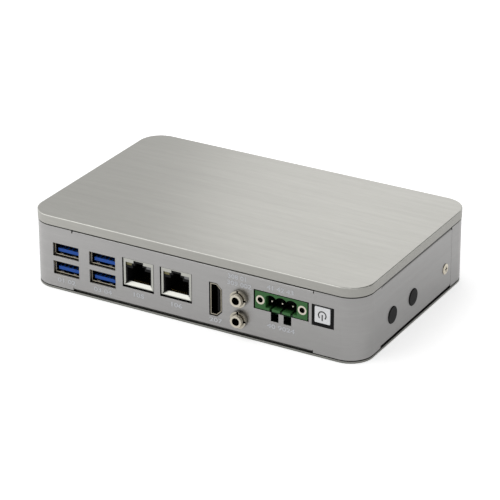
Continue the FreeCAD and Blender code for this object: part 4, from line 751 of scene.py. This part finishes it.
class PC_OT_usb(bpy.types.Operator):
    """Finish the USB sockets"""
    bl_idname = "industrial_pc.usb"
    bl_label = "Finish the USB sockets"

    def execute(self, context):
        look = context.scene.pc_sockets
        # Painted shade darkens the socket insides with depth and in their crevices.
        shell = plated("usb_nickel", look.nickel_colour, gloss=0.26, soft=0.06 * MM, dust=0.4,
                       deep=(1.3, 1.6, 0.97))
        black = moulded("usb_black", look.insert_colour, gloss=0.5, gleam=0.1, deep=(1.0, 4.0, 0.9))
        tongue = moulded("usb_tongue_blue", look.tongue_colour, gloss=0.4, soft=0.08 * MM, dust=0.4,
                         gleam=0.3)
        gold = plated("contact_gold", look.gold_colour, gloss=0.2, dust=0.6, deep=(0.5, 4.0, 0.85))
        for number in (1, 2):
            dress(shell, f"usb_{number}_shell")
            dress(black, f"usb_{number}_core")
            dress(tongue, f"usb_{number}_tongues")
            dress(gold, f"usb_{number}_contacts")
            self.make_springs(context, look, number, shell)
        return {"FINISHED"}

    def make_springs(self, context, look, number, material):
        """Two springs in the floor and two in the roof of each opening."""
        values = {"Width": look.spring_width, "Length": SPRING_LENGTH, "Sheet": look.spring_sheet,
                  "Bulge": look.spring_bulge, "Count": 2, "Pitch": SPRING_PITCH, "Material": material}
        x = middle(f"usb_{number}_shell").x
        meshes = []
        for level in USB_LEVELS:
            floor = level - USB_OPENING / 2 + USB_SHEET
            roof = floor + USB_OPENING - 2 * USB_SHEET
            for place in (turned(x, SPRING_DEPTH, floor), turned(x, SPRING_DEPTH, roof, ("Y", 180))):
                meshes.append(grown(context, "leaf_springs", spring_tree, values, place))
        name = f"usb_{number}_springs"
        add_piece(name, joined(name, meshes), material)


class PC_OT_network(bpy.types.Operator):
    """Finish the network sockets"""
    bl_idname = "industrial_pc.network"
    bl_label = "Finish the network sockets"

    def execute(self, context):
        look = context.scene.pc_sockets
        # Painted shade darkens the shield and the housing with depth inside the socket.
        shield = plated("network_shield_tin", look.shield_colour, gloss=0.3, soft=0.08 * MM,
                        deep=(3.0, 3.0, 0.9))
        black = moulded("network_black", look.insert_colour, gloss=0.5, gleam=0.15, deep=(1.0, 6.0, 0.9))
        gold = plated("network_contact_gold", look.gold_colour, gloss=0.2)
        for number in (1, 2):
            dress(shield, f"lan_{number}_shield")
            dress(black, f"lan_{number}_housing")
            dress(gold, f"lan_{number}_contacts")
        dress(moulded("link_lamp_lens", tint(112, 104, 40), gloss=0.2, coat=0.5), "lan_link_lamps")
        dress(moulded("activity_lamp_lens", tint(120, 120, 122), gloss=0.2, coat=0.5),
              "lan_activity_lamps")
        return {"FINISHED"}


class PC_OT_hdmi(bpy.types.Operator):
    """Finish the HDMI socket"""
    bl_idname = "industrial_pc.hdmi"
    bl_label = "Finish the HDMI socket"

    def execute(self, context):
        look = context.scene.pc_sockets
        # Painted shade darkens the shell and the core with depth inside the socket.
        dress(plated("hdmi_nickel", tint(162, 156, 142), gloss=0.24, soft=0.08 * MM, dust=0.4,
                     deep=(0.7, 1.4, 0.97)), "hdmi_shell")
        dress(moulded("hdmi_black", look.insert_colour, gloss=0.5, gleam=0.1, deep=(1.5, 4.0, 0.8)),
              "hdmi_core")
        dress(plated("hdmi_contact_gold", look.gold_colour, gloss=0.2), "hdmi_contacts")
        return {"FINISHED"}


class PC_OT_audio(bpy.types.Operator):
    """Finish the audio jacks"""
    bl_idname = "industrial_pc.audio"
    bl_label = "Finish the audio jacks"

    def execute(self, context):
        look = context.scene.pc_sockets
        # Painted shade darkens the sides of the nuts and barrels close to the front wall.
        bright = plated("audio_bright_nickel", tint(198, 192, 178), gloss=0.2, soft=0.15 * MM, reach=3.5,
                        dust=0.95, clear=0.95)
        dress(bright, "audio_barrels", "audio_nuts")
        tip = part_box("audio_barrels")[0].y - FRONT_FACE
        x = middle("audio_barrels").x
        values = {"Radius": THREAD_RADIUS, "Pitch": look.thread_pitch, "Turns": THREAD_TURNS,
                  "Depth": look.thread_depth, "Material": bright}
        threads = [grown(context, "thread_ridge", thread_tree, values,
                         turned(x, tip + THREAD_START, level, ("X", -90))) for level in AUDIO_LEVELS]
        add_piece("audio_threads", joined("audio_threads", threads), bright)
        dress(moulded("audio_black", look.insert_colour, gloss=0.5), "audio_body")
        return {"FINISHED"}


class PC_OT_terminal(bpy.types.Operator):
    """Finish the terminal header and the board that carries it"""
    bl_idname = "industrial_pc.terminal"
    bl_label = "Finish the terminal header"

    def execute(self, context):
        look = context.scene.pc_sockets
        # Edges painted lighter, part wear and part painted highlight; painted shade darkens the cavity with
        # depth.
        dress(moulded("terminal_green", look.terminal_colour, gloss=0.42, soft=0.15 * MM,
                      worn=(tint(110, 160, 104), 0.4), gleam=0.3, deep=(0.6, 3.4, 0.97)), "dc_header")
        tin = plated("terminal_tin", tint(204, 198, 184), gloss=0.22, reach=2.0)
        dress(tin, "dc_pins", "dc_flange_nuts")
        low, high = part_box("dc_pins")
        values = {"Size": PIN_SIZE, "Length": look.tip_length, "Count": 3,
                  "Pitch": (high.x - low.x - PIN_SIZE) / 2, "Material": tin}
        tips = grown(context, "pin_tips", tip_tree, values,
                     turned((low.x + high.x) / 2, low.y - FRONT_FACE, high.z - PIN_SIZE / 2, ("X", 90)))
        add_piece("dc_pin_tips", joined("dc_pin_tips", [tips]), tin)
        return {"FINISHED"}


class PC_OT_button(bpy.types.Operator):
    """Finish the power button"""
    bl_idname = "industrial_pc.button"
    bl_label = "Finish the power button"

    def execute(self, context):
        look = context.scene.pc_button
        dress(moulded("button_black", look.surround_colour, gloss=0.4, soft=0.2 * MM, gleam=0.12),
              "button_surround")
        dress(moulded("button_pale", look.cap_colour, gloss=0.3, contrast=0.04, coat=0.2),
              "button_cap")
        dress(moulded("symbol_ink", look.symbol_colour, gloss=0.5), "button_symbol")
        dress(moulded("switch_black", look.surround_colour, gloss=0.5), "switch_base")
        dress(moulded("plunger_red", tint(150, 60, 55), gloss=0.45), "switch_plunger")
        return {"FINISHED"}


DIGIT_SHARE = 0.7
INK_SPREAD = 0.07 * MM
INK_SHEET = 0.02 * MM
INK_LIFT = 0.03 * MM


class PC_OT_marks(bpy.types.Operator):
    """Print plain numbers beside the sockets"""
    bl_idname = "industrial_pc.marks"
    bl_label = "Print the numbers"

    def execute(self, context):
        look = context.scene.pc_sockets
        # Text, the node it stands beside, and X from that node's middle, height above the floor and width,
        # all three in millimetres
        rows = [("01 02", "usb_1_shell", 0.0, 4.9, 9.5), ("03 04", "usb_2_shell", 0.0, 4.9, 9.5),
                ("105", "lan_1_shield", 0.0, 7.1, 5.5), ("106", "lan_2_shield", 0.0, 7.1, 5.5),
                ("207", "hdmi_shell", 0.0, 4.9, 6.5), ("308 01", "audio_nuts", -1.0, 27.9, 9.0),
                ("309 002", "audio_nuts", -0.2, 24.8, 12.0), ("41 42 43", "dc_header", -0.3, 27.0, 13.0),
                ("40 9024", "dc_header", 0.0, 8.9, 13.6)]
        meshes = []
        for text, node, aside, z, width in rows:
            mesh = self.number_mesh(context, text, look.mark_height)
            wide = [corner.co.x for corner in mesh.vertices]
            mesh.transform(Matrix.Scale(width * MM / (max(wide) - min(wide)), 4, (1, 0, 0)))
            mesh.transform(turned(middle(node).x + aside * MM, -INK_LIFT, z * MM, ("X", 90)))
            meshes.append(mesh)
        ink = moulded("number_ink", look.mark_colour, gloss=0.55, contrast=0.06, dust=0.2)
        add_piece("front_numbers", joined("front_numbers", meshes), ink)
        return {"FINISHED"}

    def number_mesh(self, context, text, height):
        """Digits as a thin mesh in the XY plane, centred on the origin."""
        curve = bpy.data.curves.new("number", "FONT")
        curve.body = text
        curve.size = height / DIGIT_SHARE
        curve.offset = INK_SPREAD
        curve.align_x = "CENTER"
        curve.align_y = "CENTER"
        curve.extrude = INK_SHEET
        curve.resolution_u = 3
        item = bpy.data.objects.new("number", curve)
        context.scene.collection.objects.link(item)
        context.view_layer.update()
        graph = context.evaluated_depsgraph_get()
        mesh = bpy.data.meshes.new_from_object(item.evaluated_get(graph))
        bpy.data.objects.remove(item)
        bpy.data.curves.remove(curve)
        return mesh


class PC_OT_inside(bpy.types.Operator):
    """Finish the boards and the parts on them"""
    bl_idname = "industrial_pc.inside"
    bl_label = "Finish the inside"

    def execute(self, context):
        # Painted shade darkens the boards where parts stand close by.
        dress(moulded("board_green", tint(28, 92, 56), gloss=0.35, contrast=0.2, reach=9.0, dust=0.95),
              "mainboard", "power_board", "memory_module", "drive_module")
        dress(moulded("chip_black", tint(40, 40, 42), gloss=0.45), "processor", "inductors")
        dress(moulded("socket_black", tint(24, 24, 25), gloss=0.5), "memory_socket", "drive_socket",
              "cell_holder", "board_link")
        dress(moulded("thermal_grey", tint(150, 158, 166), gloss=0.8), "thermal_pad")
        dress(brushed("heat_block_aluminium", tint(200, 200, 202), (60.0, 3000.0, 60.0)), "heat_block")
        dress(plated("cell_steel", tint(214, 214, 212), gloss=0.28), "coin_cell")
        dress(plated("can_aluminium", tint(206, 206, 208), gloss=0.35), "capacitors")
        return {"FINISHED"}


class PC_PT_panel(bpy.types.Panel):
    """Lists the pieces and their settings"""
    bl_idname = "PC_PT_panel"
    bl_label = "Industrial PC"
    bl_space_type = "VIEW_3D"
    bl_region_type = "UI"
    bl_category = "Industrial PC"

    def draw(self, context):
        for operator in STEPS:
            self.layout.operator(operator.bl_idname, text=operator.bl_label)
        for name, settings in SETTINGS.items():
            box = self.layout.box()
            group = getattr(context.scene, name)
            for field in settings.__annotations__:
                box.prop(group, field)


STEPS = (PC_OT_stage, PC_OT_lid, PC_OT_shells, PC_OT_fixings, PC_OT_usb, PC_OT_network, PC_OT_hdmi,
         PC_OT_audio, PC_OT_terminal, PC_OT_button, PC_OT_marks, PC_OT_inside)
SETTINGS = {"pc_case": CaseFinish, "pc_sockets": SocketFinish, "pc_button": ButtonFinish,
            "pc_studio": StudioSettings}


def register():
    for kind in (*SETTINGS.values(), *STEPS, PC_PT_panel):
        bpy.utils.register_class(kind)
    for name, kind in SETTINGS.items():
        setattr(bpy.types.Scene, name, PointerProperty(type=kind))


def unregister():
    for name in SETTINGS:
        delattr(bpy.types.Scene, name)
    for kind in reversed((*SETTINGS.values(), *STEPS, PC_PT_panel)):
        bpy.utils.unregister_class(kind)


def main():
    """Run every step."""
    register()
    for step in STEPS:
        family, action = step.bl_idname.split(".")
        if getattr(getattr(bpy.ops, family), action)() != {"FINISHED"}:
            raise RuntimeError(f"{step.bl_label} did not finish")


if __name__ == "__main__":
    main()
